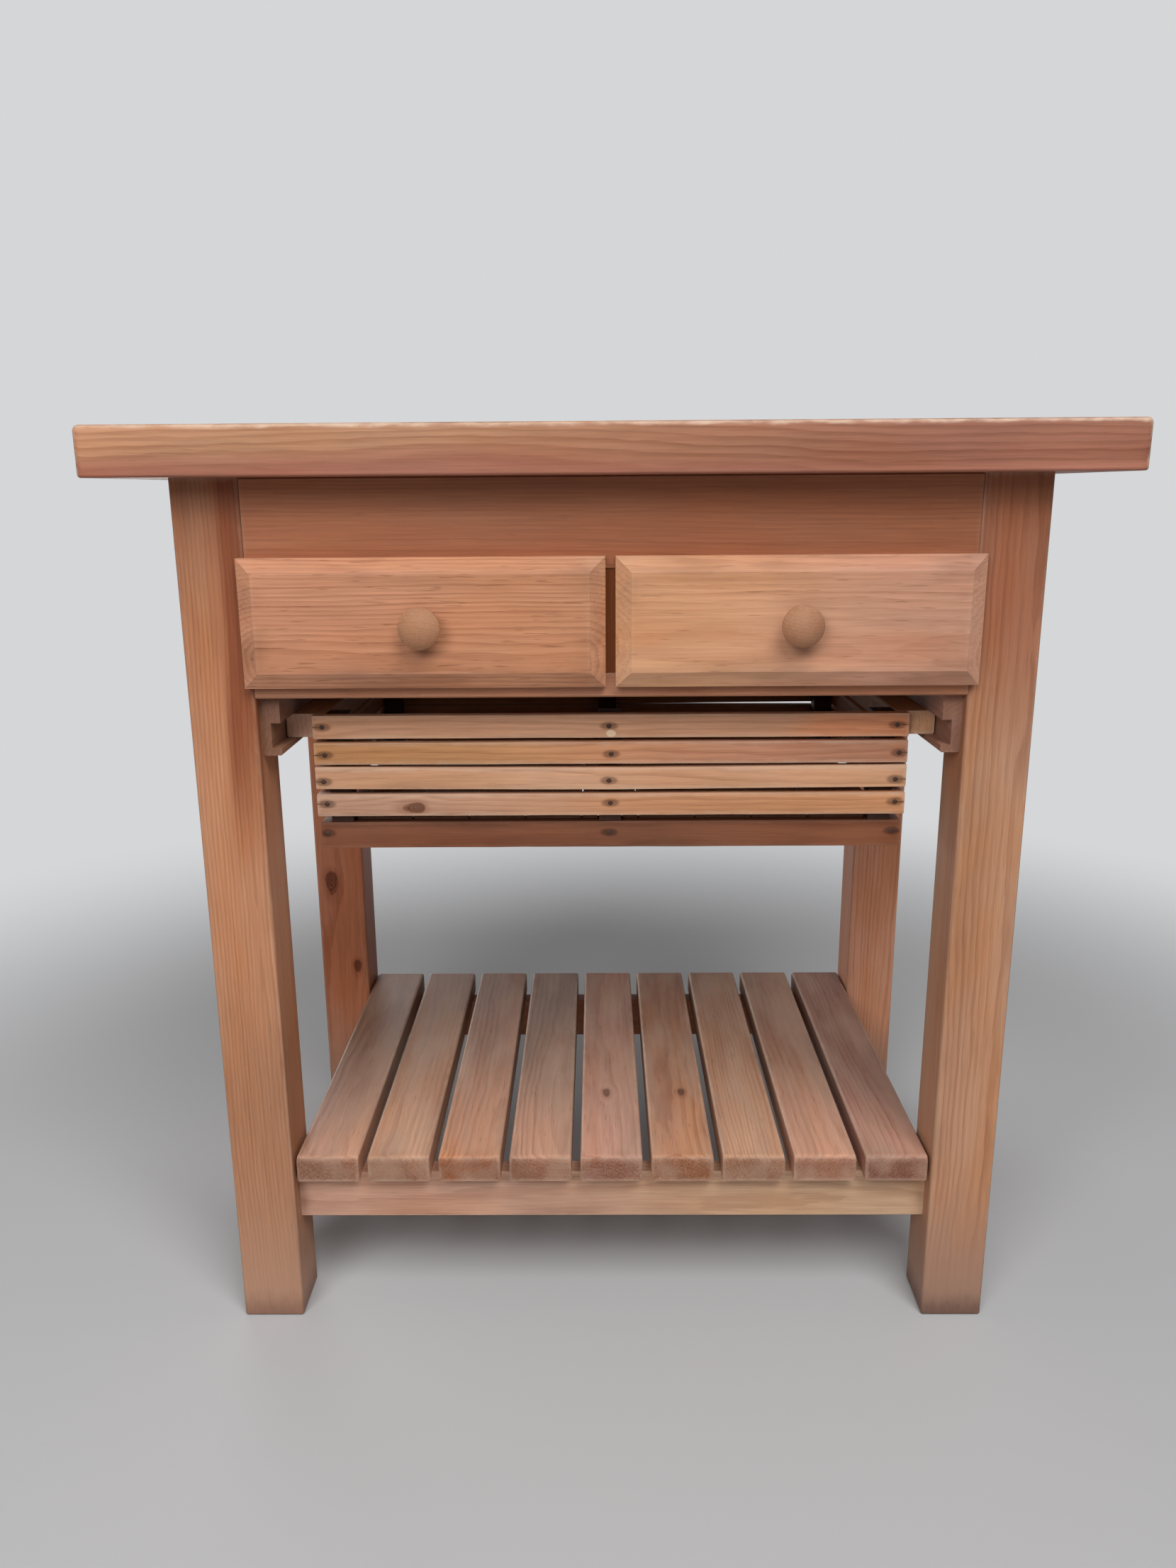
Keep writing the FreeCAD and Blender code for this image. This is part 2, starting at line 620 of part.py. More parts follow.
def knob():
    """A turned knob: spigot, short neck, coved underside, narrow rim and domed face, revolved."""
    body = doc.addObject("PartDesign::Body", "drawer_left_knob")
    body.Placement.Rotation = FreeCAD.Rotation(FreeCAD.Vector(1, 0, 0), 90)
    centre_x = f"-{LEG_INNER} - side_overlay + {FRONT_WIDTH} / 2"
    centre_z = f"{OPENING_BOTTOM} + opening_height / 2 - knob_drop"
    place(body, (centre_x, f"{FRONT} - front_thickness", centre_z))
    sketch = sketch_on(body, "knob_profile", "XZ_Plane", ORIGIN)

    size = {alias: float(sheet.get(alias)) for alias in SIZE_NAMES if alias.startswith("knob")}
    spigot, neck, cap = size["knob_spigot"] / 2, size["knob_neck"] / 2, size["knob_diameter"] / 2
    cove = cap - neck
    rim_foot = size["knob_neck_length"] + cove
    rim_top = rim_foot + size["knob_rim"]
    rise = size["knob_projection"] - rim_top
    dome = (rise * rise + cap * cap) / (2 * rise)
    point = FreeCAD.Vector
    foot = [point(0, -size["knob_spigot_length"]), point(spigot, -size["knob_spigot_length"])]
    foot += [point(spigot, 0), point(neck, 0), point(neck, size["knob_neck_length"])]
    rim = [point(cap, rim_foot), point(cap, rim_top)]
    crown = point(0, size["knob_projection"])
    inside_cove = point(cap - DIAGONAL_SHARE * cove, size["knob_neck_length"] + DIAGONAL_SHARE * cove)
    half_way = (rim[1] + crown) / 2
    dome_centre = point(0, size["knob_projection"] - dome)
    on_dome = dome_centre + (half_way - dome_centre).normalize() * dome

    for first, second in zip(foot, foot[1:]):
        sketch.addGeometry(Part.LineSegment(first, second), False)
    sketch.addGeometry(Part.ArcOfCircle(rim[0], inside_cove, foot[-1]), False)
    sketch.addGeometry(Part.LineSegment(*rim), False)
    sketch.addGeometry(Part.ArcOfCircle(rim[1], on_dome, crown), False)
    sketch.addGeometry(Part.LineSegment(crown, foot[0]), False)
    for joint in ((0, 2, 1, 1), (1, 2, 2, 1), (2, 2, 3, 1), (3, 2, 4, 2), (4, 1, 5, 1), (5, 2, 6, 1),
                  (6, 2, 7, 1), (7, 2, 0, 1)):
        sketch.addConstraint(Sketcher.Constraint("Coincident", *joint))
    for line in (0, 2):
        sketch.addConstraint(Sketcher.Constraint("Horizontal", line))
    for line in (1, 3, 5, 7):
        sketch.addConstraint(Sketcher.Constraint("Vertical", line))
    sketch.addConstraint(Sketcher.Constraint("PointOnObject", 0, 1, -2))
    sketch.addConstraint(Sketcher.Constraint("PointOnObject", 2, 1, -1))
    sketch.addConstraint(Sketcher.Constraint("PointOnObject", 6, 3, -2))
    sketch.addConstraint(Sketcher.Constraint("Horizontal", 3, 2, 4, 3))
    sketch.addConstraint(Sketcher.Constraint("Vertical", 4, 3, 5, 1))
    dimension(sketch, "DistanceX", (0, 1, 0, 2), "knob_spigot / 2")
    dimension(sketch, "DistanceX", (-1, 1, 2, 2), "knob_neck / 2")
    dimension(sketch, "DistanceX", (-1, 1, 5, 1), "knob_diameter / 2")
    dimension(sketch, "DistanceY", (1, 1, 1, 2), "knob_spigot_length")
    dimension(sketch, "DistanceY", (3, 1, 3, 2), "knob_neck_length")
    dimension(sketch, "DistanceY", (5, 1, 5, 2), "knob_rim")
    dimension(sketch, "DistanceY", (-1, 1, 6, 2), "knob_projection")

    turned = body.newObject("PartDesign::Revolution", "knob_turned")
    turned.Profile = sketch
    turned.ReferenceAxis = (sketch, ["V_Axis"])
    turned.Angle = 360
    return keep(body)


def drawers():
    """The left drawer's pieces, and the right drawer's as their mirror image."""
    inset = "drawer_side_thickness - bottom_groove_depth"
    pieces = [
        drawer_front(),
        drawer_side("drawer_left_outer_side", f"-{BOX_OUTER}", inset),
        drawer_side("drawer_left_inner_side", f"-{BOX_INNER} - drawer_side_thickness", "0"),
        drawer_back(),
        drawer_bottom(),
        knob(),
    ]
    for piece in pieces:
        mirrored(piece.Label.replace("left", "right"), piece, LEFT_TO_RIGHT)


# Crate and its runners


def crate_runners():
    """Strips on the inner faces of the legs, grooved for the crate's side rails; the groove stops short."""
    length = f"({FRAME_DEPTH} - 2 * crate_runner_setback)"
    at = (f"-{LEG_INNER}", f"{FRONT} + crate_runner_setback", f"{APRON_BOTTOM} - crate_runner_height")
    size = ("crate_runner_thickness", length, "crate_runner_height")
    body = board("crate_runner_left", at, size, "y", "crate_arris")
    depth = "(crate_tongue + crate_tongue_clearance)"
    groove_at = (f"crate_runner_thickness - {depth}", "0", "crate_runner_lip")
    groove_length = f"{CRATE_FRAME_BACK} - {FRONT} - crate_runner_setback"
    groove = (depth, groove_length, "crate_rail_height + slide_clearance + crate_groove_play")
    cut_block(body, "crate_runner_groove", "YZ_Plane", groove_at, groove)
    mirrored("crate_runner_right", keep(body), LEFT_TO_RIGHT)


def crate_frame():
    """Side rails that hang in the runners, bottom rails, and the posts that the slats are nailed to."""
    at = (f"-{RUNNER_FACE} - crate_tongue", CRATE_FRAME_FRONT, CRATE_RAIL_BOTTOM)
    size = (f"{RUNNER_FACE} + crate_tongue - {CRATE_HALF}", CRATE_FRAME_DEPTH, "crate_rail_height")
    rail = keep(board("crate_side_rail_left", at, size, "y", "crate_arris"))
    mirrored("crate_side_rail_right", rail, LEFT_TO_RIGHT)

    bottom = f"{CRATE_BOTTOM_RAIL_TOP} - crate_bottom_rail_height"
    size = (f"2 * {CRATE_HALF}", "crate_post_width", "crate_bottom_rail_height")
    back = f"{CRATE_FRAME_BACK} - crate_post_width"
    for row, y in (("front", CRATE_FRAME_FRONT), ("back", back)):
        at = (f"-{CRATE_HALF}", y, bottom)
        keep(board(f"crate_bottom_rail_{row}", at, size, "x", "crate_arris"))
    at = (f"-{CRATE_HALF}", f"{CRATE_FRAME_FRONT} + crate_post_width", bottom)
    size = ("crate_post_width", f"{CRATE_FRAME_DEPTH} - 2 * crate_post_width", "crate_bottom_rail_height")
    rail = keep(board("crate_bottom_rail_left", at, size, "y", "crate_arris"))
    mirrored("crate_bottom_rail_right", rail, LEFT_TO_RIGHT)

    places = (f"-{CRATE_HALF}", "-crate_post_width / 2", f"{CRATE_HALF} - crate_post_width")
    size = ("crate_post_width", "crate_post_width", CRATE_POST_HEIGHT)
    for row, y in (("front", CRATE_FRAME_FRONT), ("back", back)):
        posts = []
        for number, x in enumerate(places, start=1):
            at = (x, y, CRATE_BOTTOM_RAIL_TOP)
            posts.append(board(f"crate_{row}_post_{number}", at, size, "z", "crate_arris"))
        group(f"crate_{row}_posts", posts)


def slat_bottom(number):
    """Lower edge of a crate slat, counted downwards from the slat that is level with the side rails."""
    return f"{CRATE_RAIL_BOTTOM} - {number} * (crate_slat_height + crate_slat_gap)"


def crate_slats():
    """Front and back slats from end to end, and side slats between them."""
    for row, y in (("front", CRATE_FRONT), ("back", CRATE_FRAME_BACK)):
        slats = []
        for number in range(CRATE_SLATS_UNDER_RAIL + 1):
            height = "crate_slat_height" if number else "crate_rail_height"
            at = (f"-{CRATE_SLAT_END}", y, slat_bottom(number))
            size = (f"2 * {CRATE_SLAT_END}", "crate_slat_thickness", height)
            slats.append(board(f"crate_{row}_slat_{number + 1}", at, size, "x", "crate_arris"))
        group(f"crate_{row}_slats", slats)

    for side, x in (("left", f"-{CRATE_HALF} - crate_slat_thickness"), ("right", CRATE_HALF)):
        slats = []
        for number in range(1, CRATE_SLATS_UNDER_RAIL + 1):
            at = (x, CRATE_FRAME_FRONT, slat_bottom(number))
            size = ("crate_slat_thickness", CRATE_FRAME_DEPTH, "crate_slat_height")
            slats.append(board(f"crate_{side}_slat_{number}", at, size, "y", "crate_arris"))
        group(f"crate_{side}_slats", slats)


def crate_floor():
    """Slats that lie on the middle of the bottom rails; the central one is notched round the middle posts."""
    edge = f"({CRATE_HALF} - crate_post_width)"
    width = f"((2 * {edge} - {CRATE_FLOOR_SLATS + 1} * crate_floor_gap) / {CRATE_FLOOR_SLATS})"
    length = f"({CRATE_FRAME_DEPTH} - crate_post_width)"
    size = (width, length, "crate_floor_thickness")
    slats = []
    for number in range(CRATE_FLOOR_SLATS):
        x = f"-{edge} + crate_floor_gap + {number} * ({width} + crate_floor_gap)"
        at = (x, f"{CRATE_FRAME_FRONT} + crate_post_width / 2", CRATE_BOTTOM_RAIL_TOP)
        slats.append(board(f"crate_floor_slat_{number + 1}", at, size, "y", "crate_arris"))

    central = slats[CRATE_FLOOR_SLATS // 2]
    notch_width = "(crate_post_width + 2 * crate_floor_gap)"
    notch_depth = "(crate_post_width / 2 + crate_floor_gap)"
    notch = (notch_width, notch_depth, "crate_floor_thickness")
    for row, y in (("front", "0"), ("back", f"{length} - {notch_depth}")):
        at = (f"({width} - {notch_width}) / 2", y, "0")
        cut_block(central, f"floor_{row}_notch", "XY_Plane", at, notch)
    group("crate_floor_slats", slats)


# Shelf


def shelf():
    """Two rails tenoned between the legs, and slats from front to back with worn, rounded ends."""
    size = (CLEAR_LENGTH, "shelf_rail_thickness", "shelf_rail_height")
    at = (f"-{LEG_INNER}", f"{FRONT} + shelf_rail_setback", SHELF_RAIL_BOTTOM)
    rail = board("shelf_rail_front", at, size, "x", "rail_arris")
    add_tenons(rail, "x", size)
    mirrored("shelf_rail_back", keep(rail), FRONT_TO_BACK)

    taken = f"2 * shelf_side_gap + {SHELF_SLATS - 1} * shelf_slat_gap"
    width = f"(({CLEAR_LENGTH} - ({taken})) / {SHELF_SLATS})"
    size = (width, f"{FRAME_DEPTH} - 2 * shelf_slat_setback", "shelf_slat_thickness")
    for number in range(SHELF_SLATS):
        x = f"-{LEG_INNER} + shelf_side_gap + {number} * ({width} + shelf_slat_gap)"
        at = (x, f"{FRONT} + shelf_slat_setback", SHELF_UNDERSIDE)
        body = plain_board(f"shelf_slat_{number + 1}", at, size, "x")
        ease(body, [("y-", "z+"), ("y+", "z+")], "shelf_end_round")
        ease(body, [("x-", "z+"), ("x+", "z+")], "shelf_arris")
        keep(body)


def check():
    """Stop if a feature failed or a piece has no sound solid."""
    for piece in doc.Objects:
        if {"Invalid", "Error"} & set(piece.State):
            raise RuntimeError(f"{piece.Name}: {piece.State}")
    for piece in parts:
        shape = piece.Shape
        if shape.isNull() or not shape.isValid() or not shape.Solids:
            raise RuntimeError(f"{piece.Label}: no sound solid")


def write():
    os.makedirs("parts", exist_ok=True)
    for piece in parts:
        shape = piece.Shape
        if len(shape.Solids) == 1:
            shape = shape.Solids[0]
        shape.exportStep(f"parts/{piece.Label}.step")


def main():
    fill_sheet()
    table_top()
    legs()
    front_rails()
    aprons()
    top_buttons()
    drawer_runners()
    drawer_kickers()
    drawers()
    crate_runners()
    crate_frame()
    crate_slats()
    crate_floor()
    shelf()
    doc.recompute()
    check()
    write()
    print(f"{len(parts)} nodes, {sum(len(piece.Shape.Solids) for piece in parts)} solids")


main()
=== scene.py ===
"""Looks of a pine kitchen table: timber with its own figure on every board, nail heads, light and camera.

Metres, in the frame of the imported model: +Z up, the front with the drawers faces -Y.
"""

import math
import random

import bmesh
import bpy
from mathutils import Matrix, Vector, noise


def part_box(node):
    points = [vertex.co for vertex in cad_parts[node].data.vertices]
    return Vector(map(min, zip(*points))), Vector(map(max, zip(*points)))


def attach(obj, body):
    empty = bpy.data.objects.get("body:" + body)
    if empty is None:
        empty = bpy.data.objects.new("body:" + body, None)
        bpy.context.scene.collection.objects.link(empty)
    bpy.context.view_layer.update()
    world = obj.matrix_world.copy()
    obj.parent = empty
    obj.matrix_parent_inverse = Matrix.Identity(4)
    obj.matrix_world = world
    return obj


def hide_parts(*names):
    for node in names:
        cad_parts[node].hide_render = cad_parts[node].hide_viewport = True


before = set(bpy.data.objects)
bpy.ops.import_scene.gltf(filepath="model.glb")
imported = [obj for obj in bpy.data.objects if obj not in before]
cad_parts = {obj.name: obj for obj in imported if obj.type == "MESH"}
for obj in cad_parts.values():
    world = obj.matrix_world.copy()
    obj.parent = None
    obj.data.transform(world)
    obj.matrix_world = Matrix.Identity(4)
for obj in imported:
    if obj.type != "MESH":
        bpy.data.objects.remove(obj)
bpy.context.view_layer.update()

MILLIMETRE = 0.001

# The image that the camera is fitted to, and the lens found for it, in pixels
IMAGE_WIDTH = 1659
FOCAL_LENGTH = 1619.85
SENSOR_WIDTH = 36.0

# Where the camera stands, in metres, and how it is turned, in degrees
CAMERA_PLACE = (-0.0117, -1.274, 0.8437)
CAMERA_DOWN = 14.325
CAMERA_TO_LEFT = 0.525
CAMERA_ROLL = -0.401


# Colours


def linear(red, green, blue):
    """A colour written as it shows on a screen, from 0 to 255, in the shader's linear values."""
    def channel(value):
        value /= 255
        return value / 12.92 if value <= 0.04045 else ((value + 0.055) / 1.055) ** 2.4
    return (channel(red), channel(green), channel(blue), 1.0)


# Shader trees

# Sockets of a mix node that mixes colours: the share, the two colours and the result
MIX_SHARE, MIX_FIRST, MIX_SECOND, MIX_RESULT = 0, 6, 7, 2


class Tree:
    """Short ways to add nodes to a shader tree. Most of them give back an output socket."""

    def __init__(self, tree):
        self.tree = tree

    def add(self, kind, **settings):
        node = self.tree.nodes.new(kind)
        for name, value in settings.items():
            setattr(node, name, value)
        return node

    def feed(self, socket, value):
        """Link an output to a socket, or set the socket to a plain value."""
        if isinstance(value, bpy.types.NodeSocket):
            self.tree.links.new(value, socket)
        else:
            socket.default_value = value

    def math(self, operation, *values):
        node = self.add("ShaderNodeMath", operation=operation)
        for socket, value in zip(node.inputs, values):
            self.feed(socket, value)
        return node.outputs[0]

    def vector(self, operation, *values):
        node = self.add("ShaderNodeVectorMath", operation=operation)
        for socket, value in zip(node.inputs, values):
            self.feed(socket, value)
        return node.outputs["Vector"]

    def split(self, vector):
        node = self.add("ShaderNodeSeparateXYZ")
        self.feed(node.inputs[0], vector)
        return list(node.outputs)

    def join(self, *values):
        node = self.add("ShaderNodeCombineXYZ")
        for socket, value in zip(node.inputs, values):
            self.feed(socket, value)
        return node.outputs[0]

    def noise(self, place, per_metre, detail=2.0, roughness=0.5):
        """Noise of about 0 to 1, with its own fineness along each axis."""
        node = self.add("ShaderNodeTexNoise")
        self.feed(node.inputs["Vector"], self.vector("MULTIPLY", place, per_metre))
        node.inputs["Scale"].default_value = 1.0
        node.inputs["Detail"].default_value = detail
        node.inputs["Roughness"].default_value = roughness
        return node.outputs[0]

    def wander(self, place, per_metre, reach, detail=2.0):
        """Noise about zero that goes up to the reach either way."""
        return self.math("MULTIPLY_ADD", self.noise(place, per_metre, detail), 2 * reach, -reach)

    def random(self, number):
        """A colour and a value drawn for each whole number."""
        node = self.add("ShaderNodeTexWhiteNoise", noise_dimensions="1D")
        self.feed(node.inputs["W"], number)
        return node.outputs["Color"], node.outputs["Value"]

    def step(self, value, start, end, low=0.0, high=1.0):
        """A smooth change from low to high while the value goes from start to end."""
        node = self.add("ShaderNodeMapRange", interpolation_type="SMOOTHSTEP")
        for socket, given in zip(node.inputs, (value, start, end, low, high)):
            self.feed(socket, given)
        return node.outputs[0]

    def mix(self, share, first, second, kind="MIX"):
        node = self.add("ShaderNodeMix", data_type="RGBA", blend_type=kind)
        for number, given in ((MIX_SHARE, share), (MIX_FIRST, first), (MIX_SECOND, second)):
            self.feed(node.inputs[number], given)
        return node.outputs[MIX_RESULT]

    def tint(self, share, colour, tint):
        """A colour times a tint, as far as the share goes."""
        return self.mix(share, colour, (*tint, 1.0), "MULTIPLY")

    def distance(self, first, second):
        """Length of a vector with two parts."""
        squares = self.math("MULTIPLY_ADD", first, first, self.math("MULTIPLY", second, second))
        return self.math("SQRT", squares)


# Pine: rings round a pith, parted by knots, with fibres, streaks, pale edges that are partly worn and
# partly painted highlight, dark edges that are partly dirt and partly painted shade, and rusty nails

PINE_INPUTS = (
    ("Place", "NodeSocketVector"),
    ("Facing", "NodeSocketVector"),
    ("Seed", "NodeSocketVector"),
    ("Pith", "NodeSocketVector"),
    ("Middle", "NodeSocketVector"),
    ("Half", "NodeSocketVector"),
    ("Near", "NodeSocketColor"),
    ("Far", "NodeSocketColor"),
    ("Drift", "NodeSocketVector"),
    ("Heart", "NodeSocketColor"),
    ("Heart reach", "NodeSocketFloat"),
    ("Heart start", "NodeSocketFloat"),
    ("Ring", "NodeSocketFloat"),
    ("Contrast", "NodeSocketFloat"),
    ("Streaks", "NodeSocketFloat"),
    ("Warm", "NodeSocketFloat"),
    ("Flecks", "NodeSocketFloat"),
    ("Wear", "NodeSocketFloat"),
    ("Grime", "NodeSocketFloat"),
    ("End", "NodeSocketFloat"),
    ("Patina", "NodeSocketFloat"),
    ("Foot", "NodeSocketFloat"),
    ("Foot grey", "NodeSocketColor"),
    ("Knot 1", "NodeSocketVector"),
    ("Knot 2", "NodeSocketVector"),
    ("Nails", "NodeSocketVector"),
    ("Chip", "NodeSocketVector"),
)
PINE_OUTPUTS = (
    ("Colour", "NodeSocketColor"),
    ("Roughness", "NodeSocketFloat"),
    ("Height", "NodeSocketFloat"),
)

# Changes in a metre along the grain, across it and into the board
SWAY_FINENESS = (1.5, 6, 6)
TURN_FINENESS = (2.3, 8, 8)
RIPPLE_FINENESS = (16, 90, 90)
STREAK_FINENESS = (1.2, 38, 38)
BLOTCH_FINENESS = (3, 11, 11)
FIBRE_FINENESS = (17, 620, 620)
FLECK_FINENESS = (38, 520, 520)
RAGGED_FINENESS = (60, 140, 140)
DIRT_AND_SHADE_FINENESS = (9, 30, 30)
PATINA_FINENESS = (7, 30, 30)
WARM_FINENESS = (6, 19, 19)
PORE_FINENESS = (400, 900, 900)

# Detail of the noise: how many finer layers it has, and how strong they are
COARSE_DETAIL = 1.0
FINE_DETAIL = 3.0
PATINA_DETAIL = 4.0
FIBRE_ROUGHNESS = 0.6

# Where a trait starts in its noise and where it is full, and its values there if not 0 and 1
STREAK_RISE = (0.44, 0.72)
WARM_RISE = (0.38, 0.66)
FLECK_RISE = (0.64, 0.74)
PATINA_RISE = (0.40, 0.68)
DIRT_AND_SHADE_RISE = (0.42, 0.70)
PORE_RISE = (0.35, 0.65, 0.6, 0.9)
BLOTCH_SHADE = (0.25, 0.75, 0.88, 1.12)
FIBRE_SHADE = (0.2, 0.8, -0.12, 0.10)
BLOTCH_ROUGHNESS = (0.2, 0.8, 0.46, 0.60)
# The same for end grain, by how far a face looks along the grain
END_RISE = (0.45, 0.85)

# A year's ring: when the dark late wood comes and goes, and how strong it is from year to year
LATE_RISE = (0.30, 0.86)
LATE_FALL = (0.92, 1.0, 1.0, 0.0)
VIGOUR_SPREAD = 0.7
LEAST_VIGOUR = 0.3
PALE_END_SHARE = 0.45

# What raises and lowers the surface, and what makes it shine more or less
RING_RISE = 0.5
FIBRE_RISE = 0.35
FLECK_SINK = 0.3
RUBBED_SINK = 0.25
LATE_SHINE = 0.08
END_ROUGHNESS = 0.12

# How far the rings wander, in metres, and their ripple, in years
SWAY_REACH = 17 * MILLIMETRE
TURN_REACH = 11 * MILLIMETRE
RIPPLE_REACH = 0.45
HEART_EDGE = 5 * MILLIMETRE
HEART_RAGGED = 6 * MILLIMETRE

# Shares of half a board's length over which its colour changes raggedly and its heartwood fades in
DRIFT_RAGGED_SHARE = 0.35
HEART_FADE_SHARE = 0.35

# Depth of the pale strip along an edge (worn wood and painted highlight) and of the dark strip (dirt and
# painted shade), and of the dark band at a foot
WORN_AND_HIGHLIT_DEPTH = 4.5 * MILLIMETRE
WORN_AND_HIGHLIT_RAGGED = 3 * MILLIMETRE
DIRT_AND_SHADE_DEPTH = 20 * MILLIMETRE
FOOT_DEPTH = 36 * MILLIMETRE
FOOT_RAGGED = 9 * MILLIMETRE
FOOT_GREY_HEIGHT = 190 * MILLIMETRE

# What multiplies the colour of the wood where a trait shows
LATE_TINT = (0.60, 0.48, 0.42)
STREAK_TINT = (0.80, 0.66, 0.60)
WARM_TINT = (1.00, 0.87, 0.72)
END_TINT = (0.33, 0.24, 0.20)
KNOT_TINT = (0.30, 0.19, 0.14)
FLECK_TINT = (0.42, 0.34, 0.30)
# Tint of the dark edge strip: dirt, and on the drawer fronts also painted shade on the bevels
DIRT_AND_SHADE_TINT = (0.46, 0.40, 0.38)
FOOT_TINT = (0.50, 0.47, 0.50)
STAIN_TINT = (0.26, 0.22, 0.20)
PATINA_GREY = linear(172, 142, 122)
FRESH_WOOD = linear(226, 196, 164)
# Colour of the pale edge strip: worn wood, and on the top and the shelf also a painted highlight on the
# rounded arrises
WORN_AND_HIGHLIT_WOOD = linear(202, 174, 152)

# The parts of a knot or a chip, in its radii
KNOT_STRETCH = 0.75
KNOT_TAIL = 0.38
KNOT_RAGGED = 0.3
KNOT_PULL_REACH = 2.3
KNOT_PULL = 0.85
KNOT_RING_PACE = 21.0
KNOT_RINGS = (-1, 1, 0.6, 0.95)
KNOT_RIM = (1.06, 0.86)
KNOT_HALO = (2.1, 0.9, 0.0, 0.55)
CHIP_RIM = (1.1, 0.8)
NO_KNOT = (0, 0, 0)
LEAST_RADIUS = 0.01 * MILLIMETRE
KNOT_MIDDLE = 1 * MILLIMETRE
CHIP_RAGGED = 1 * MILLIMETRE

# A nail's stain: it reaches further along the grain, and is darkest in its core
STAIN_REACH = 5.5 * MILLIMETRE
STAIN_CORE = 2.8 * MILLIMETRE
STAIN_STRETCH = 0.5
STAIN_SHARE = 0.7
CORE_SHARE = 0.9
STAIN_RAGGED = 1 * MILLIMETRE
SPLIT_WIDTH = 0.9 * MILLIMETRE
# Places far off, for boards without nails
NO_NAILS = (9, 9, 9)


def knots(tree, given, sample, along, across):
    """Part the grain round up to two knots, each given by its place along and across and its radius."""
    nearest = None
    for name in ("Knot 1", "Knot 2"):
        knot_along, knot_across, radius = tree.split(given[name])
        from_knot = tree.math("SUBTRACT", along, knot_along)
        stretch = tree.step(from_knot, -KNOT_MIDDLE, KNOT_MIDDLE, KNOT_TAIL, KNOT_STRETCH)
        far_along = tree.math("MULTIPLY", from_knot, stretch)
        far_across = tree.math("SUBTRACT", across, knot_across)
        radius = tree.math("MAXIMUM", radius, LEAST_RADIUS)
        far = tree.math("DIVIDE", tree.distance(far_along, far_across), radius)
        far = tree.math("ADD", far, tree.wander(sample, RAGGED_FINENESS, KNOT_RAGGED))
        reach = tree.math("POWER", tree.math("DIVIDE", far, KNOT_PULL_REACH), 2.0)
        pull = tree.math("EXPONENT", tree.math("MULTIPLY", reach, -1.0))
        kept = tree.math("MULTIPLY_ADD", pull, -KNOT_PULL, 1.0)
        across = tree.math("MULTIPLY_ADD", far_across, kept, knot_across)
        nearest = tree.math("MINIMUM", nearest, far) if nearest else far
    return across, nearest


def edge_distance(tree, given):
    """Distance along the surface to the nearest edge: the middle one of the distances to three sides."""
    away = tree.vector("ABSOLUTE", tree.vector("SUBTRACT", given["Place"], given["Middle"]))
    first, second, third = tree.split(tree.vector("SUBTRACT", given["Half"], away))
    least = tree.math("MINIMUM", first, second)
    most = tree.math("MAXIMUM", first, second)
    return tree.math("MAXIMUM", least, tree.math("MINIMUM", most, third))


def nail_marks(tree, given, sample, along, across):
    """Rust round three nails, one in the middle and one near each end, and splits from there outwards."""
    reach, level, middle = tree.split(given["Nails"])
    from_middle = tree.math("SUBTRACT", along, middle)
    past_end = tree.math("SUBTRACT", tree.math("ABSOLUTE", from_middle), reach)
    ragged = tree.wander(sample, RAGGED_FINENESS, STAIN_RAGGED)
    up = tree.math("ADD", tree.math("SUBTRACT", across, level), ragged)
    nearest = tree.math("MINIMUM", tree.math("ABSOLUTE", from_middle), tree.math("ABSOLUTE", past_end))
    far = tree.distance(tree.math("MULTIPLY", nearest, STAIN_STRETCH), up)
    stain = tree.step(far, STAIN_REACH, STAIN_CORE, 0.0, STAIN_SHARE)
    core = tree.step(far, STAIN_CORE, STAIN_CORE / 2, 0.0, CORE_SHARE)
    split = tree.math("LESS_THAN", tree.math("ABSOLUTE", up), SPLIT_WIDTH / 2)
    split = tree.math("MULTIPLY", split, tree.math("GREATER_THAN", past_end, 0.0))
    return tree.math("MAXIMUM", tree.math("MAXIMUM", stain, core), split)


def chip_share(tree, given, sample, along, across):
    """A small chip that shows fresh, pale wood, given by its place along and across and its radius."""
    chip_along, chip_across, radius = tree.split(given["Chip"])
    far_along = tree.math("MULTIPLY", tree.math("SUBTRACT", along, chip_along), KNOT_STRETCH)
    far = tree.distance(far_along, tree.math("SUBTRACT", across, chip_across))
    far = tree.math("ADD", far, tree.wander(sample, RAGGED_FINENESS, CHIP_RAGGED))
    far = tree.math("DIVIDE", far, tree.math("MAXIMUM", radius, LEAST_RADIUS))
    return tree.step(far, *CHIP_RIM)


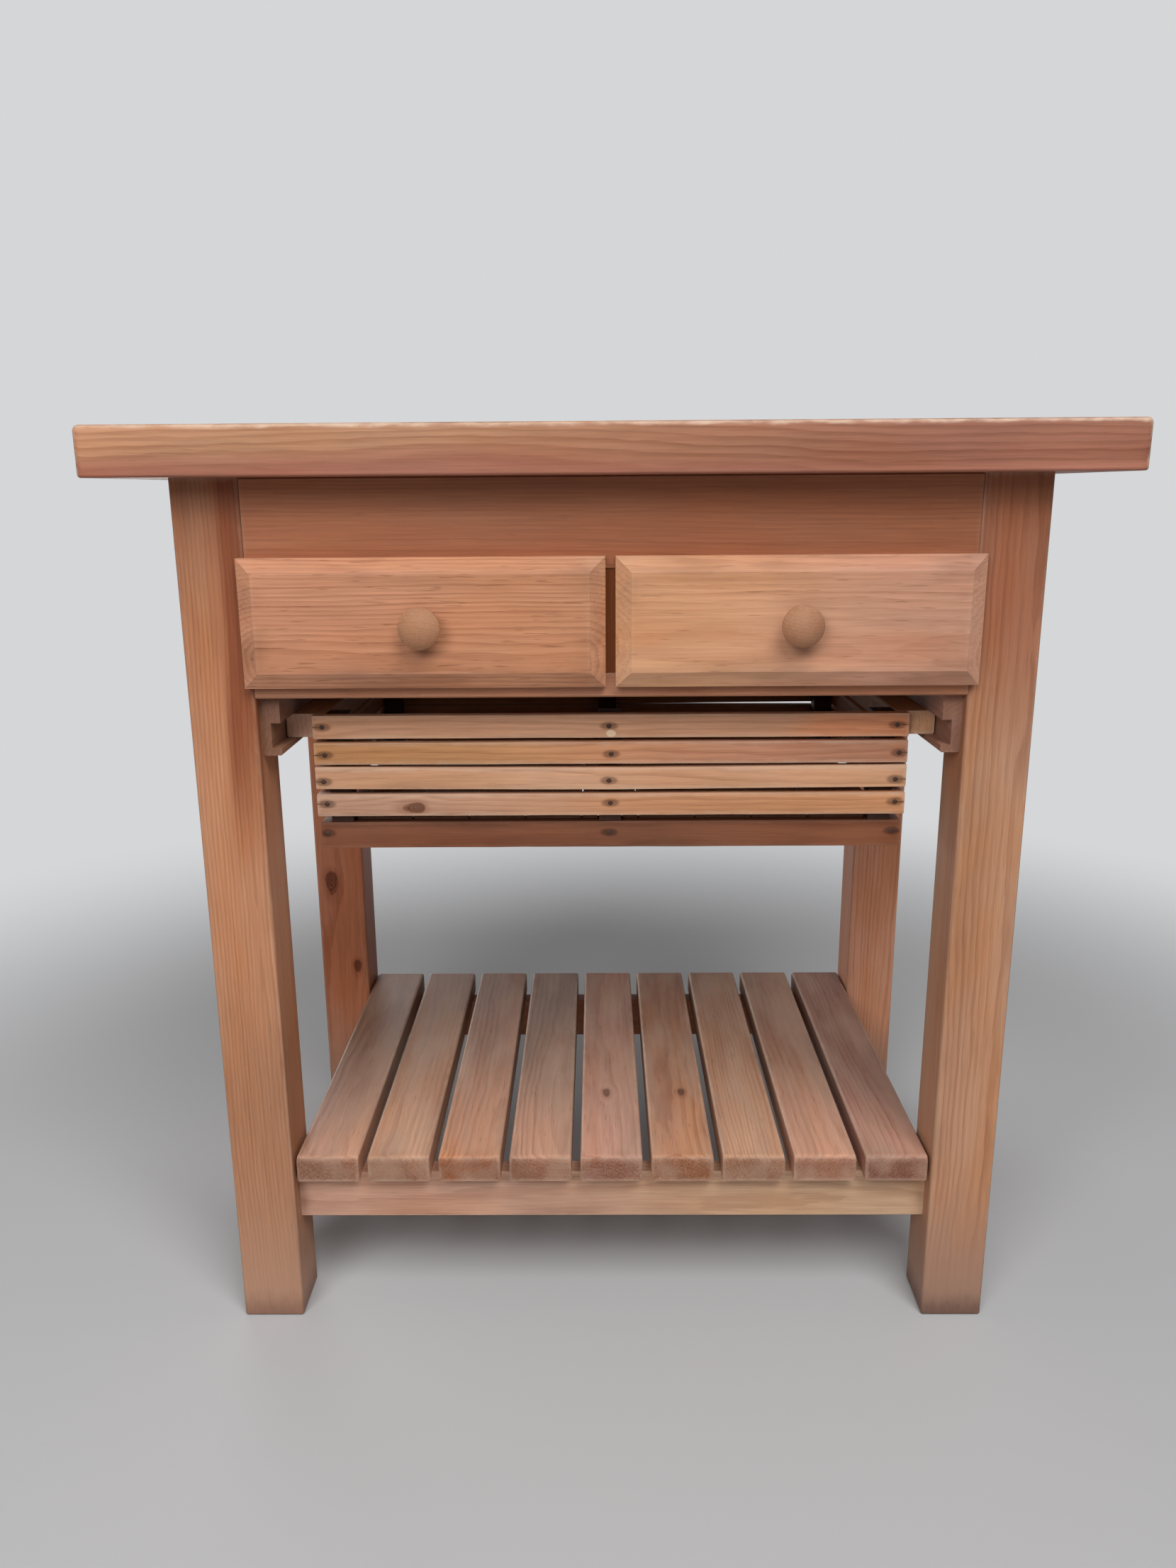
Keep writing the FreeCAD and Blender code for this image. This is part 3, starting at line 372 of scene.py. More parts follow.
def ring_figure(tree, given, sample, across, depth, end):
    """Yearly rings, paler in spring and darker towards the autumn, and the share of heartwood."""
    _, pith_across, pith_depth = tree.split(given["Pith"])
    ring_across = tree.math("SUBTRACT", across, pith_across)
    ring_depth = tree.math("SUBTRACT", depth, pith_depth)
    ring_across = tree.math("ADD", ring_across, tree.wander(sample, SWAY_FINENESS, SWAY_REACH))
    ring_depth = tree.math("ADD", ring_depth, tree.wander(sample, TURN_FINENESS, TURN_REACH))
    radius = tree.distance(ring_across, ring_depth)
    years = tree.math("DIVIDE", radius, given["Ring"])
    years = tree.math("ADD", years, tree.wander(sample, RIPPLE_FINENESS, RIPPLE_REACH))
    season = tree.math("FRACT", years)
    late = tree.math("MULTIPLY", tree.step(season, *LATE_RISE), tree.step(season, *LATE_FALL))
    _, chance = tree.random(tree.math("FLOOR", years))
    vigour = tree.math("MULTIPLY_ADD", chance, VIGOUR_SPREAD, LEAST_VIGOUR)
    pale = tree.math("MULTIPLY_ADD", end, -PALE_END_SHARE, 1.0)
    strength = tree.math("MULTIPLY", given["Contrast"], pale)
    figure = tree.math("MULTIPLY", tree.math("MULTIPLY", late, vigour), strength)
    edge = tree.math("SUBTRACT", radius, given["Heart reach"])
    edge = tree.math("ADD", edge, tree.wander(sample, STREAK_FINENESS, HEART_RAGGED))
    return figure, tree.step(edge, HEART_EDGE, -HEART_EDGE)


def drifting_colour(tree, given, sample, along, heart):
    """The colour, which changes along the board, on some boards as painted shade or painted light towards
    one end, and turns redder in the heartwood.
    """
    middle, half = tree.split(given["Middle"])[0], tree.split(given["Half"])[0]
    share = tree.math("DIVIDE", tree.math("SUBTRACT", along, middle), half)
    share = tree.math("ADD", share, tree.wander(sample, BLOTCH_FINENESS, DRIFT_RAGGED_SHARE))
    drift_start, drift_end, _ = tree.split(given["Drift"])
    colour = tree.mix(tree.step(share, drift_start, drift_end), given["Near"], given["Far"])
    heart_end = tree.math("ADD", given["Heart start"], HEART_FADE_SHARE)
    heart = tree.math("MULTIPLY", heart, tree.step(share, given["Heart start"], heart_end))
    return tree.mix(heart, colour, given["Heart"])


def grained(tree, given, sample, colour, figure):
    """The colour with rings, long streaks, fine fibres and short dark flecks, and what roughens it."""
    streak = tree.step(tree.noise(sample, STREAK_FINENESS, FINE_DETAIL), *STREAK_RISE)
    warm = tree.step(tree.noise(sample, WARM_FINENESS, FINE_DETAIL), *WARM_RISE)
    blotch = tree.noise(sample, BLOTCH_FINENESS, FINE_DETAIL)
    fibre = tree.noise(sample, FIBRE_FINENESS, FINE_DETAIL, FIBRE_ROUGHNESS)
    fleck = tree.step(tree.noise(sample, FLECK_FINENESS, COARSE_DETAIL), *FLECK_RISE)
    fleck = tree.math("MULTIPLY", fleck, given["Flecks"])
    colour = tree.tint(tree.math("MULTIPLY", warm, given["Warm"]), colour, WARM_TINT)
    colour = tree.tint(figure, colour, LATE_TINT)
    colour = tree.tint(tree.math("MULTIPLY", streak, given["Streaks"]), colour, STREAK_TINT)
    shade = tree.math("ADD", tree.step(blotch, *BLOTCH_SHADE), tree.step(fibre, *FIBRE_SHADE))
    colour = tree.mix(1.0, colour, tree.join(shade, shade, shade), "MULTIPLY")
    return tree.tint(fleck, colour, FLECK_TINT), blotch, fibre, fleck


def knotted(tree, given, sample, colour, knot_far, end):
    """The colour with knots, which have rings of their own, and darker end grain with open pores."""
    knot_ring = tree.math("SINE", tree.math("MULTIPLY", knot_far, KNOT_RING_PACE))
    knot = tree.math("MULTIPLY", tree.step(knot_far, *KNOT_RIM), tree.step(knot_ring, *KNOT_RINGS))
    colour = tree.tint(tree.step(knot_far, *KNOT_HALO), colour, LATE_TINT)
    colour = tree.tint(knot, colour, KNOT_TINT)
    pore = tree.step(tree.noise(sample, PORE_FINENESS), *PORE_RISE)
    pore = tree.math("MULTIPLY", pore, given["End"])
    return tree.tint(tree.math("MULTIPLY", end, pore), colour, END_TINT)


def aged(tree, given, sample, colour, along):
    """The colour with grey patina, pale edges (worn wood and painted highlight), dark edges (dirt and
    painted shade) and a foot soiled with dirt, and the pale edge share.
    """
    patina = tree.step(tree.noise(sample, PATINA_FINENESS, PATINA_DETAIL), *PATINA_RISE)
    colour = tree.mix(tree.math("MULTIPLY", patina, given["Patina"]), colour, PATINA_GREY)
    edge = edge_distance(tree, given)
    # Pale strip along the edges: partly worn wood, partly a painted highlight on rounded arrises
    rubbed_and_highlit = tree.math("ADD", edge, tree.wander(sample, RAGGED_FINENESS, WORN_AND_HIGHLIT_RAGGED, FINE_DETAIL))
    rubbed_and_highlit = tree.math("MULTIPLY", tree.step(rubbed_and_highlit, WORN_AND_HIGHLIT_DEPTH, 0.0), given["Wear"])
    # Dark strip along the edges: dirt, and on the drawer fronts also painted shade on the bevels
    dirty_and_shaded = tree.step(tree.noise(sample, DIRT_AND_SHADE_FINENESS, FINE_DETAIL), *DIRT_AND_SHADE_RISE)
    dirty_and_shaded = tree.math("MULTIPLY", dirty_and_shaded, tree.step(edge, DIRT_AND_SHADE_DEPTH, 0.0))
    foot = tree.math("ADD", along, tree.wander(sample, RAGGED_FINENESS, FOOT_RAGGED, FINE_DETAIL))
    foot = tree.math("MULTIPLY", tree.step(foot, FOOT_DEPTH, 0.0), given["Foot"])
    colour = tree.tint(tree.math("MULTIPLY", dirty_and_shaded, given["Grime"]), colour, DIRT_AND_SHADE_TINT)
    colour = tree.mix(rubbed_and_highlit, colour, WORN_AND_HIGHLIT_WOOD)
    faded = tree.math("MULTIPLY", tree.step(along, FOOT_GREY_HEIGHT, 0.0), given["Foot"])
    colour = tree.mix(faded, colour, given["Foot grey"])
    return tree.tint(foot, colour, FOOT_TINT), rubbed_and_highlit


def pine_group():
    """The colour, roughness and height of pine, shared by all boards."""
    group = bpy.data.node_groups.new("pine", "ShaderNodeTree")
    for direction, sockets in (("INPUT", PINE_INPUTS), ("OUTPUT", PINE_OUTPUTS)):
        for name, kind in sockets:
            group.interface.new_socket(name, in_out=direction, socket_type=kind)
    tree = Tree(group)
    given = tree.add("NodeGroupInput").outputs
    sample = tree.vector("ADD", given["Place"], given["Seed"])
    along, flat_across, depth = tree.split(given["Place"])
    across, knot_far = knots(tree, given, sample, along, flat_across)
    end = tree.step(tree.math("ABSOLUTE", tree.split(given["Facing"])[0]), *END_RISE)
    figure, heart = ring_figure(tree, given, sample, across, depth, end)

    colour = drifting_colour(tree, given, sample, along, heart)
    colour, blotch, fibre, fleck = grained(tree, given, sample, colour, figure)
    colour = knotted(tree, given, sample, colour, knot_far, end)
    colour, rubbed_and_highlit = aged(tree, given, sample, colour, along)
    colour = tree.tint(nail_marks(tree, given, sample, along, flat_across), colour, STAIN_TINT)
    colour = tree.mix(chip_share(tree, given, sample, along, flat_across), colour, FRESH_WOOD)

    height = tree.math("MULTIPLY_ADD", figure, RING_RISE, tree.math("MULTIPLY", fibre, FIBRE_RISE))
    height = tree.math("MULTIPLY_ADD", fleck, -FLECK_SINK, height)
    height = tree.math("MULTIPLY_ADD", rubbed_and_highlit, -RUBBED_SINK, height)
    dull = tree.math("MULTIPLY_ADD", figure, -LATE_SHINE, tree.step(blotch, *BLOTCH_ROUGHNESS))
    dull = tree.math("MULTIPLY_ADD", end, END_ROUGHNESS, dull)
    made = tree.add("NodeGroupOutput")
    tree.feed(made.inputs["Colour"], colour)
    tree.feed(made.inputs["Roughness"], dull)
    tree.feed(made.inputs["Height"], height)
    return group


PINE = pine_group()

# Timber of any kind: colours on a screen, lengths in metres, and shares that say how strongly a trait shows
PLAIN_TIMBER = {
    "far": None,
    "drift": (-0.7, 0.7),
    "heart": None,
    "heart_reach": 0.0,
    "heart_start": -3.0,
    "pith": None,
    "ring": 4.2 * MILLIMETRE,
    "contrast": 0.5,
    "streaks": 0.4,
    "warm": 0.5,
    "flecks": 0.15,
    "wear": 0.4,
    "grime": 0.25,
    "end": 0.6,
    "patina": 0.0,
    "foot": 0.0,
    "foot_grey": (158, 123, 104),
    "knots": (),
    "chip": NO_KNOT,
}

# Timber of each kind of piece
TIMBER = {
    # Table top: a strong pale edge strip, partly worn wood and partly a painted highlight on the rounded
    # arris
    "top": {"near": (184, 132, 98), "contrast": 0.55, "streaks": 0.5, "wear": 1.0},
    "leg": {"near": (176, 126, 96), "streaks": 0.5, "warm": 0.9, "wear": 0.15, "foot": 0.9},
    "rail": {"near": (160, 102, 73), "contrast": 0.45, "wear": 0.05, "grime": 0.4},
    # Drawer fronts: a strong dark edge strip, partly dirt and partly painted shade on the bevels
    "drawer": {"near": (189, 138, 106), "contrast": 0.6, "wear": 0.06, "grime": 0.45, "flecks": 0.35},
    # Knobs: darker than the drawer fronts, as painted shade on their undersides
    "knob": {"near": (172, 126, 96), "contrast": 0.5, "wear": 0.0, "grime": 0.0, "end": 0.1,
             "ring": 3 * MILLIMETRE},
    "crate": {"near": (188, 140, 106), "contrast": 0.45},
    # Shelf: light at the front ends and dark towards the back, as painted shade under the crate and the
    # top; its pale edge strip is partly a painted highlight on the rounded front ends
    "shelf": {"near": (205, 158, 133), "far": (146, 110, 91), "drift": (-1.1, 0.0), "contrast": 0.6,
              "streaks": 0.55, "flecks": 0.4, "wear": 0.3, "grime": 0.4, "end": 1.0, "patina": 0.45},
    # Crate posts: very dark, as painted shade where they show between and below the front slats
    "post": {"near": (70, 45, 34), "contrast": 0.4, "wear": 0.0},
    "box": {"near": (208, 164, 122), "contrast": 0.5, "streaks": 0.3, "wear": 0.2},
    "inner": {"near": (170, 120, 86), "contrast": 0.5, "wear": 0.15},
}

# What sets single boards apart, in metres and in colours on a screen
BOARD_LOOKS = {
    "table_top_board_1": {"near": (182, 135, 103), "far": (147, 99, 80), "heart": (160, 106, 87),
                          "heart_reach": 0.026, "pith": (-0.011, -0.0625)},
    "table_top_board_2": {"far": (166, 115, 87)},
    "table_top_board_3": {"near": (178, 126, 93), "far": (172, 121, 91)},
    "table_top_board_4": {"near": (188, 137, 103)},
    # Front legs: darker towards their top ends, as painted shade from the table top
    "leg_front_left": {"near": (179, 128, 96), "far": (156, 105, 76), "drift": (0.45, 1.0), "foot": 0.8,
                       "foot_grey": (180, 140, 116), "heart": (138, 82, 54), "heart_reach": 0.017,
                       "heart_start": 0.2, "pith": (0.018, -0.031)},
    "leg_front_right": {"near": (180, 137, 109), "far": (144, 94, 70), "drift": (0.2, 0.85), "foot": 1.0},
    "leg_back_left": {"near": (176, 114, 84), "far": (170, 108, 78),
                      "knots": ((0.344, -0.368, 0.0085), (0.222, -0.340, 0.005))},
    "leg_back_right": {"near": (200, 146, 118), "far": (186, 132, 106)},
    "drawer_left_front": {"near": (187, 133, 103), "far": (187, 133, 100), "flecks": 0.5},
    "drawer_right_front": {"near": (198, 148, 112), "far": (187, 140, 116), "contrast": 0.4},
    # Right knob: darker still, as more painted shade
    "drawer_right_knob": {"near": (160, 117, 89)},
    # Top front slat: paler than the others, as painted light where the drawers above shade it
    "crate_front_slats.1": {"near": (207, 157, 124), "far": (220, 152, 112), "drift": (0.6, 0.72),
                            "chip": (0.001, 0.6165, 0.0036)},
    "crate_front_slats.2": {"near": (194, 143, 98), "far": (190, 136, 108)},
    "crate_front_slats.3": {"near": (208, 166, 134), "far": (200, 157, 125)},
    "crate_front_slats.4": {"near": (176, 137, 113), "far": (192, 140, 102),
                            "knots": ((-0.189, 0.543, 0.0055),)},
    # Front bottom rail of the crate: dark, as painted shade under the slats in front of it
    "crate_bottom_rail_front.1": {"near": (126, 80, 57)},
    "shelf_rail_front": {"near": (203, 160, 138), "far": (204, 169, 138), "streaks": 0.25, "wear": 0.2},
    "front_upper_rail": {"near": (156, 101, 73), "contrast": 0.3, "grime": 0.1, "pith": (-0.08, 0.03)},
    "front_lower_rail": {"near": (172, 120, 92)},
    # Drawer divider: very dark, as painted shade in the gap between the drawer fronts
    "drawer_divider": {"near": (115, 60, 22)},
    "crate_runner_left": {"near": (150, 112, 92)},
    "crate_runner_right": {"near": (158, 120, 104)},
    # Crate side rails: pale at the front ends, with little end-grain darkening, as painted light on the
    # ends that show
    "crate_side_rail_left": {"near": (226, 180, 154), "far": (190, 142, 108), "drift": (-0.9, -0.2),
                             "end": 0.1},
    "crate_side_rail_right": {"near": (222, 178, 142), "far": (192, 144, 109), "drift": (-0.9, -0.2),
                              "end": 0.1},
    # Shelf slats: lighter at the front and darker at the back, as painted shade under the crate and the top
    "shelf_slat_1": {"near": (200, 156, 132), "far": (146, 113, 95)},
    "shelf_slat_2": {"near": (208, 163, 134), "far": (152, 116, 93)},
    "shelf_slat_3": {"near": (214, 158, 124), "warm": 1.0},
    "shelf_slat_4": {"far": (134, 106, 90)},
    "shelf_slat_5": {"near": (206, 158, 138), "far": (156, 115, 96),
                     "knots": ((-0.101, -0.004, 0.0045),)},
    "shelf_slat_6": {"near": (202, 154, 124), "far": (146, 104, 78), "warm": 0.9,
                     "knots": ((-0.101, 0.080, 0.004),)},
    "shelf_slat_7": {"near": (208, 163, 132), "far": (154, 117, 93)},
    "shelf_slat_8": {"near": (212, 164, 140)},
    "shelf_slat_9": {"near": (190, 144, 126), "far": (138, 103, 91)},
}

# Order of the object's axes in grain space: along the grain, across the face that shows, into the board
GRAIN_ORDER = {"x": (0, 2, 1), "y": (1, 0, 2), "y on edge": (1, 2, 0), "z": (2, 0, 1)}

# Drawn for each board: where its pith lies, how wide its rings are, and its place in the noise
PITH_ACROSS = 50 * MILLIMETRE
PITH_DEPTHS = (30 * MILLIMETRE, 80 * MILLIMETRE)
RING_SPREAD = (0.85, 1.2)
SEED_REACH = 40

# Traits that the pine takes from a board's look as they are
PLAIN_TRAITS = ("Heart reach", "Heart start", "Contrast", "Streaks", "Warm", "Flecks", "Wear", "Grime",
                "End", "Patina", "Foot", "Chip")

BUMP_STRENGTH = 0.35
BUMP_DISTANCE = 0.6 * MILLIMETRE
WAXED = 0.2


def in_grain_order(vector, grain):
    return [vector[number] for number in GRAIN_ORDER[grain]]


def board_row(tree, place, seed, middle, pith, row):
    """Number the like boards that lie side by side, and give each its own place in the log."""
    start, pitch = row
    _, across, _ = tree.split(place)
    number = tree.math("FLOOR", tree.math("DIVIDE", tree.math("SUBTRACT", across, start), pitch))
    chance, _ = tree.random(number)
    seed = tree.vector("MULTIPLY_ADD", chance, (SEED_REACH, SEED_REACH, SEED_REACH), seed)
    centre = tree.math("MULTIPLY_ADD", number, pitch, start + pitch / 2)
    pith_across = tree.math("ADD", centre, pith[1] - middle[1])
    return seed, tree.join(middle[0], centre, middle[2]), tree.join(0.0, pith_across, pith[2])


def look_values(look):
    """What the pine takes from a board's look."""
    first_knot, second_knot = (*look["knots"], NO_KNOT, NO_KNOT)[:2]
    values = {
        "Near": linear(*look["near"]),
        "Far": linear(*(look["far"] or look["near"])),
        "Drift": (*look["drift"], 0),
        "Heart": linear(*(look["heart"] or look["near"])),
        "Foot grey": linear(*look["foot_grey"]),
        "Knot 1": first_knot,
        "Knot 2": second_knot,
    }
    for trait in PLAIN_TRAITS:
        values[trait] = look[trait.lower().replace(" ", "_")]
    return values


def wax(tree, shader, pine):
    """Waxed wood whose grain stands out a little."""
    bump = tree.add("ShaderNodeBump")
    bump.inputs["Strength"].default_value = BUMP_STRENGTH
    bump.inputs["Distance"].default_value = BUMP_DISTANCE
    tree.feed(bump.inputs["Height"], pine.outputs["Height"])
    tree.feed(shader.inputs["Base Color"], pine.outputs["Colour"])
    tree.feed(shader.inputs["Roughness"], pine.outputs["Roughness"])
    tree.feed(shader.inputs["Normal"], bump.outputs["Normal"])
    shader.inputs["Specular IOR Level"].default_value = WAXED


def wood(name, kind, grain, box, nails=NO_NAILS, row=None):
    """A pine material for one board: its own place in the log, its own colour and its own edges."""
    look = {**PLAIN_TIMBER, **TIMBER[kind], **BOARD_LOOKS.get(name, {})}
    chance = random.Random(name)
    material = bpy.data.materials.new(f"pine.{name}")
    material.use_nodes = True
    tree = Tree(material.node_tree)
    shader = material.node_tree.nodes["Principled BSDF"]
    at = tree.add("ShaderNodeTexCoord").outputs
    place = tree.join(*in_grain_order(tree.split(at["Object"]), grain))
    low, high = (Vector(in_grain_order(corner, grain)) for corner in box)
    middle, half = (low + high) / 2, (high - low) / 2

    side = chance.choice((-1, 1))
    offset = look["pith"]
    if not offset:
        offset = (chance.uniform(-PITH_ACROSS, PITH_ACROSS), side * chance.uniform(*PITH_DEPTHS))
    pith = Vector((0, middle[1] + offset[0], middle[2] + offset[1]))
    seed = Vector([chance.uniform(-SEED_REACH, SEED_REACH) for _ in range(3)])
    ring = look["ring"] * chance.uniform(*RING_SPREAD)
    if row:
        half[1] = row[1] / 2
        seed, middle, pith = board_row(tree, place, seed, middle, pith, row)
    values = {
        **look_values(look),
        "Place": place,
        "Facing": tree.join(*in_grain_order(tree.split(at["Normal"]), grain)),
        "Seed": seed,
        "Pith": pith,
        "Middle": middle,
        "Half": half,
        "Ring": ring,
        "Nails": nails,
    }
    pine = tree.add("ShaderNodeGroup", node_tree=PINE)
    for socket, value in values.items():
        tree.feed(pine.inputs[socket], value)
    wax(tree, shader, pine)
    return material


def dress(node, kind, grain, box=None, row=None):
    """Give a CAD node the timber of its kind."""
    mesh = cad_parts[node].data
    mesh.materials.clear()
    mesh.materials.append(wood(node, kind, grain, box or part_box(node), row=row))


# Table top, frame and shelf

TOP_BOARDS = 4
# How far past the wood the box reaches at glued edges and underneath, where no hand rubs, so that these
# edges get neither the pale strip nor the dark strip
UNMARKED_EDGE_REACH = 25 * MILLIMETRE
SHELF_SLATS = 9
# The bevel of the drawer fronts, whose worn edge runs along the raised field inside it; the dark strip of
# dirt and painted shade there covers the whole bevel
FIELD_INSET = 14 * MILLIMETRE


def clipped(box, axis, low, high):
    """A box cut back along one axis, such as a rail without its tenons."""
    first, second = (corner.copy() for corner in box)
    first[axis], second[axis] = low, high
    return first, second


def dress_frame():
    left_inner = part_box("leg_front_left")[1].x
    front_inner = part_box("leg_front_left")[1].y
    for number in range(1, TOP_BOARDS + 1):
        node = f"table_top_board_{number}"
        low, high = (corner.copy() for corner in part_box(node))
        low.z -= UNMARKED_EDGE_REACH
        low.y -= UNMARKED_EDGE_REACH if number > 1 else 0
        high.y += UNMARKED_EDGE_REACH if number < TOP_BOARDS else 0
        dress(node, "top", "x", (low, high))
    for row in ("front", "back"):
        for side in ("left", "right"):
            dress(f"leg_{row}_{side}", "leg", "z")
    for node in ("front_upper_rail", "front_lower_rail", "back_apron", "shelf_rail_front",
                 "shelf_rail_back"):
        dress(node, "rail", "x", clipped(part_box(node), 0, left_inner, -left_inner))
    for side in ("left", "right"):
        node = f"side_apron_{side}"
        dress(node, "rail", "y on edge", clipped(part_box(node), 1, front_inner, -front_inner))
        dress(f"crate_runner_{side}", "rail", "y on edge")
    dress("drawer_divider", "rail", "z")
    for number in range(1, SHELF_SLATS + 1):
        dress(f"shelf_slat_{number}", "shelf", "y")
    for place in ("left", "right", "centre"):
        dress(f"drawer_runner_{place}", "inner", "y")
        dress(f"drawer_kicker_{place}", "inner", "y")
    dress("top_buttons", "inner", "x")


def dress_drawers():
    for side in ("left", "right"):
        name = f"drawer_{side}"
        low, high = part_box(f"{name}_front")
        inset = Vector((FIELD_INSET, 0, FIELD_INSET))
        dress(f"{name}_front", "drawer", "x", (low + inset, high - inset))
        dress(f"{name}_outer_side", "box", "y on edge")
        dress(f"{name}_inner_side", "box", "y on edge")
        dress(f"{name}_back", "box", "x")
        dress(f"{name}_bottom", "box", "x")
        dress(f"{name}_knob", "knob", "y")


# Crate: each slat is a board of its own, a little uneven, with nails through it

SLAT_ARRIS = 1.2 * MILLIMETRE
ARRIS_SEGMENTS = 2
ARRIS_ROUNDNESS = 0.6
BOARD_STEP = 30 * MILLIMETRE
UNEVEN = 0.25 * MILLIMETRE
UNEVEN_FINENESS = 40
UNEVEN_SEED = 7
SHARP_ANGLE = math.radians(40)
SAME_POINT = 0.01 * MILLIMETRE
PLACE_DIGITS = 4
LEAST_CUTS = 2
FLOOR_SLATS = 9
# Slats that are bent: how much higher they are at the left end, in the middle and at the right end. The
# second and third back slats are bent towards each other at the left to close the gap between them there,
# which stands in for shade behind the crate.
NO_BEND = (0, 0, 0)
SLAT_BEND = {
    "crate_back_slats.2": (-1.8 * MILLIMETRE, -1.8 * MILLIMETRE, 0),
    "crate_back_slats.3": (1.8 * MILLIMETRE, 1.8 * MILLIMETRE, 0),
    "crate_front_slats.3": (1.7 * MILLIMETRE, 0, 1.7 * MILLIMETRE),
}


def solid_boxes(node):
    """Lowest and highest corner of each solid in a CAD node, from the top down and left to right."""
    shape = bmesh.new()
    shape.from_mesh(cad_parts[node].data)
    bmesh.ops.remove_doubles(shape, verts=shape.verts, dist=SAME_POINT)
    unseen = set(shape.verts)
    boxes = []
    while unseen:
        waiting = [unseen.pop()]
        solid = []
        while waiting:
            vertex = waiting.pop()
            solid.append(vertex.co.copy())
            others = {edge.other_vert(vertex) for edge in vertex.link_edges} & unseen
            unseen -= others
            waiting.extend(others)
        boxes.append(tuple(Vector(map(pick, zip(*solid))) for pick in (min, max)))
    shape.free()

    def order(box):
        x, y, z = (round(value, PLACE_DIGITS) for value in box[0])
        return -z, x, y
    return sorted(boxes, key=order)


def board_mesh(box, grain, number, bend):
    """A board with rounded arrises, cut up along its length: a little uneven and bent."""
    low, high = box
    shape = bmesh.new()
    size = Matrix.Diagonal((*(high - low), 1))
    bmesh.ops.create_cube(shape, matrix=Matrix.Translation((low + high) / 2) @ size)
    axis = GRAIN_ORDER[grain][0]
    long = [edge for edge in shape.edges if abs((edge.verts[0].co - edge.verts[1].co)[axis]) > SLAT_ARRIS]
    cuts = max(LEAST_CUTS, int((high - low)[axis] / BOARD_STEP))
    bmesh.ops.subdivide_edges(shape, edges=long, cuts=cuts, use_grid_fill=True)
    sharp = [edge for edge in shape.edges if edge.calc_face_angle(0) > SHARP_ANGLE]
    bmesh.ops.bevel(shape, geom=sharp, offset=SLAT_ARRIS, segments=ARRIS_SEGMENTS, profile=ARRIS_ROUNDNESS,
                    affect="EDGES")
    left, middle, right = bend
    for vertex in shape.verts:
        side = 2 * (vertex.co.x - low.x) / (high.x - low.x) - 1
        end = right if side > 0 else left
        vertex.co.z += middle + (end - middle) * abs(side)
        vertex.co += UNEVEN * noise.noise_vector(vertex.co * UNEVEN_FINENESS)
    for face in shape.faces:
        face.material_index = number
        face.smooth = True
    mesh = bpy.data.meshes.new("board")
    shape.to_mesh(mesh)
    shape.free()
    return mesh


def dress_slats(node, kind, grain, boxes=None, nails=None):
    """Replace a CAD node of one or more boards by boards that each have their own timber."""
    shape = bmesh.new()
    mesh = bpy.data.meshes.new(f"{node}.dressed")
    for number, box in enumerate(boxes or solid_boxes(node)):
        board = board_mesh(box, grain, number, SLAT_BEND.get(f"{node}.{number + 1}", NO_BEND))
        shape.from_mesh(board)
        bpy.data.meshes.remove(board)
        marks = nails[number] if nails else NO_NAILS
        mesh.materials.append(wood(f"{node}.{number + 1}", kind, grain, box, marks))
    shape.to_mesh(mesh)
    shape.free()
    mesh.set_sharp_from_angle(angle=SHARP_ANGLE)
    add_piece(f"{node}.dressed", mesh, "crate")
    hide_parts(node)


def add_piece(name, mesh, body):
    piece = bpy.data.objects.new(name, mesh)
    bpy.context.scene.collection.objects.link(piece)
    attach(piece, body)


# Nails

NAIL_INSET = 9 * MILLIMETRE
NAIL_ASTRAY = 2 * MILLIMETRE
NAIL_RADIUS = 2.4 * MILLIMETRE
NAIL_SIDES = 18
NAIL_LEAN = 4
# The head's outline from below its rim to its crown: shares of its radius, and heights in metres
NAIL_OUTLINE = (
    (1.00, -0.50 * MILLIMETRE),
    (1.00, 0.10 * MILLIMETRE),
    (0.86, 0.26 * MILLIMETRE),
    (0.45, 0.36 * MILLIMETRE),
)
IRON_GREY = linear(58, 48, 44)
IRON_RUST = linear(84, 50, 36)
IRON_METALLIC = 0.5
IRON_ROUGHNESS, RUST_ROUGHNESS = 0.45, 0.8
RUST_FINENESS = (900, 900, 900)
RUST_RISE = (0.40, 0.65)


def nail_places(node, boxes, grain):
    """For each board: how far its end nails are from its middle nail, the nails' level, and the middle."""
    chance = random.Random(f"{node} nails")
    places = []
    for box in boxes:
        low, high = (in_grain_order(corner, grain) for corner in box)
        astray = [chance.uniform(-NAIL_ASTRAY, NAIL_ASTRAY) for _ in range(3)]
        reach = (high[0] - low[0]) / 2 - NAIL_INSET + astray[0]
        places.append((reach, (low[1] + high[1]) / 2 + astray[1], (low[0] + high[0]) / 2 + astray[2]))
    return places


def iron():
    material = bpy.data.materials.new("nail_iron")
    material.use_nodes = True
    tree = Tree(material.node_tree)
    shader = material.node_tree.nodes["Principled BSDF"]
    at = tree.add("ShaderNodeTexCoord").outputs["Object"]
    rust = tree.step(tree.noise(at, RUST_FINENESS, FINE_DETAIL), *RUST_RISE)
    tree.feed(shader.inputs["Base Color"], tree.mix(rust, IRON_GREY, IRON_RUST))
    tree.feed(shader.inputs["Roughness"], tree.step(rust, 0.0, 1.0, IRON_ROUGHNESS, RUST_ROUGHNESS))
    shader.inputs["Metallic"].default_value = IRON_METALLIC
    return material


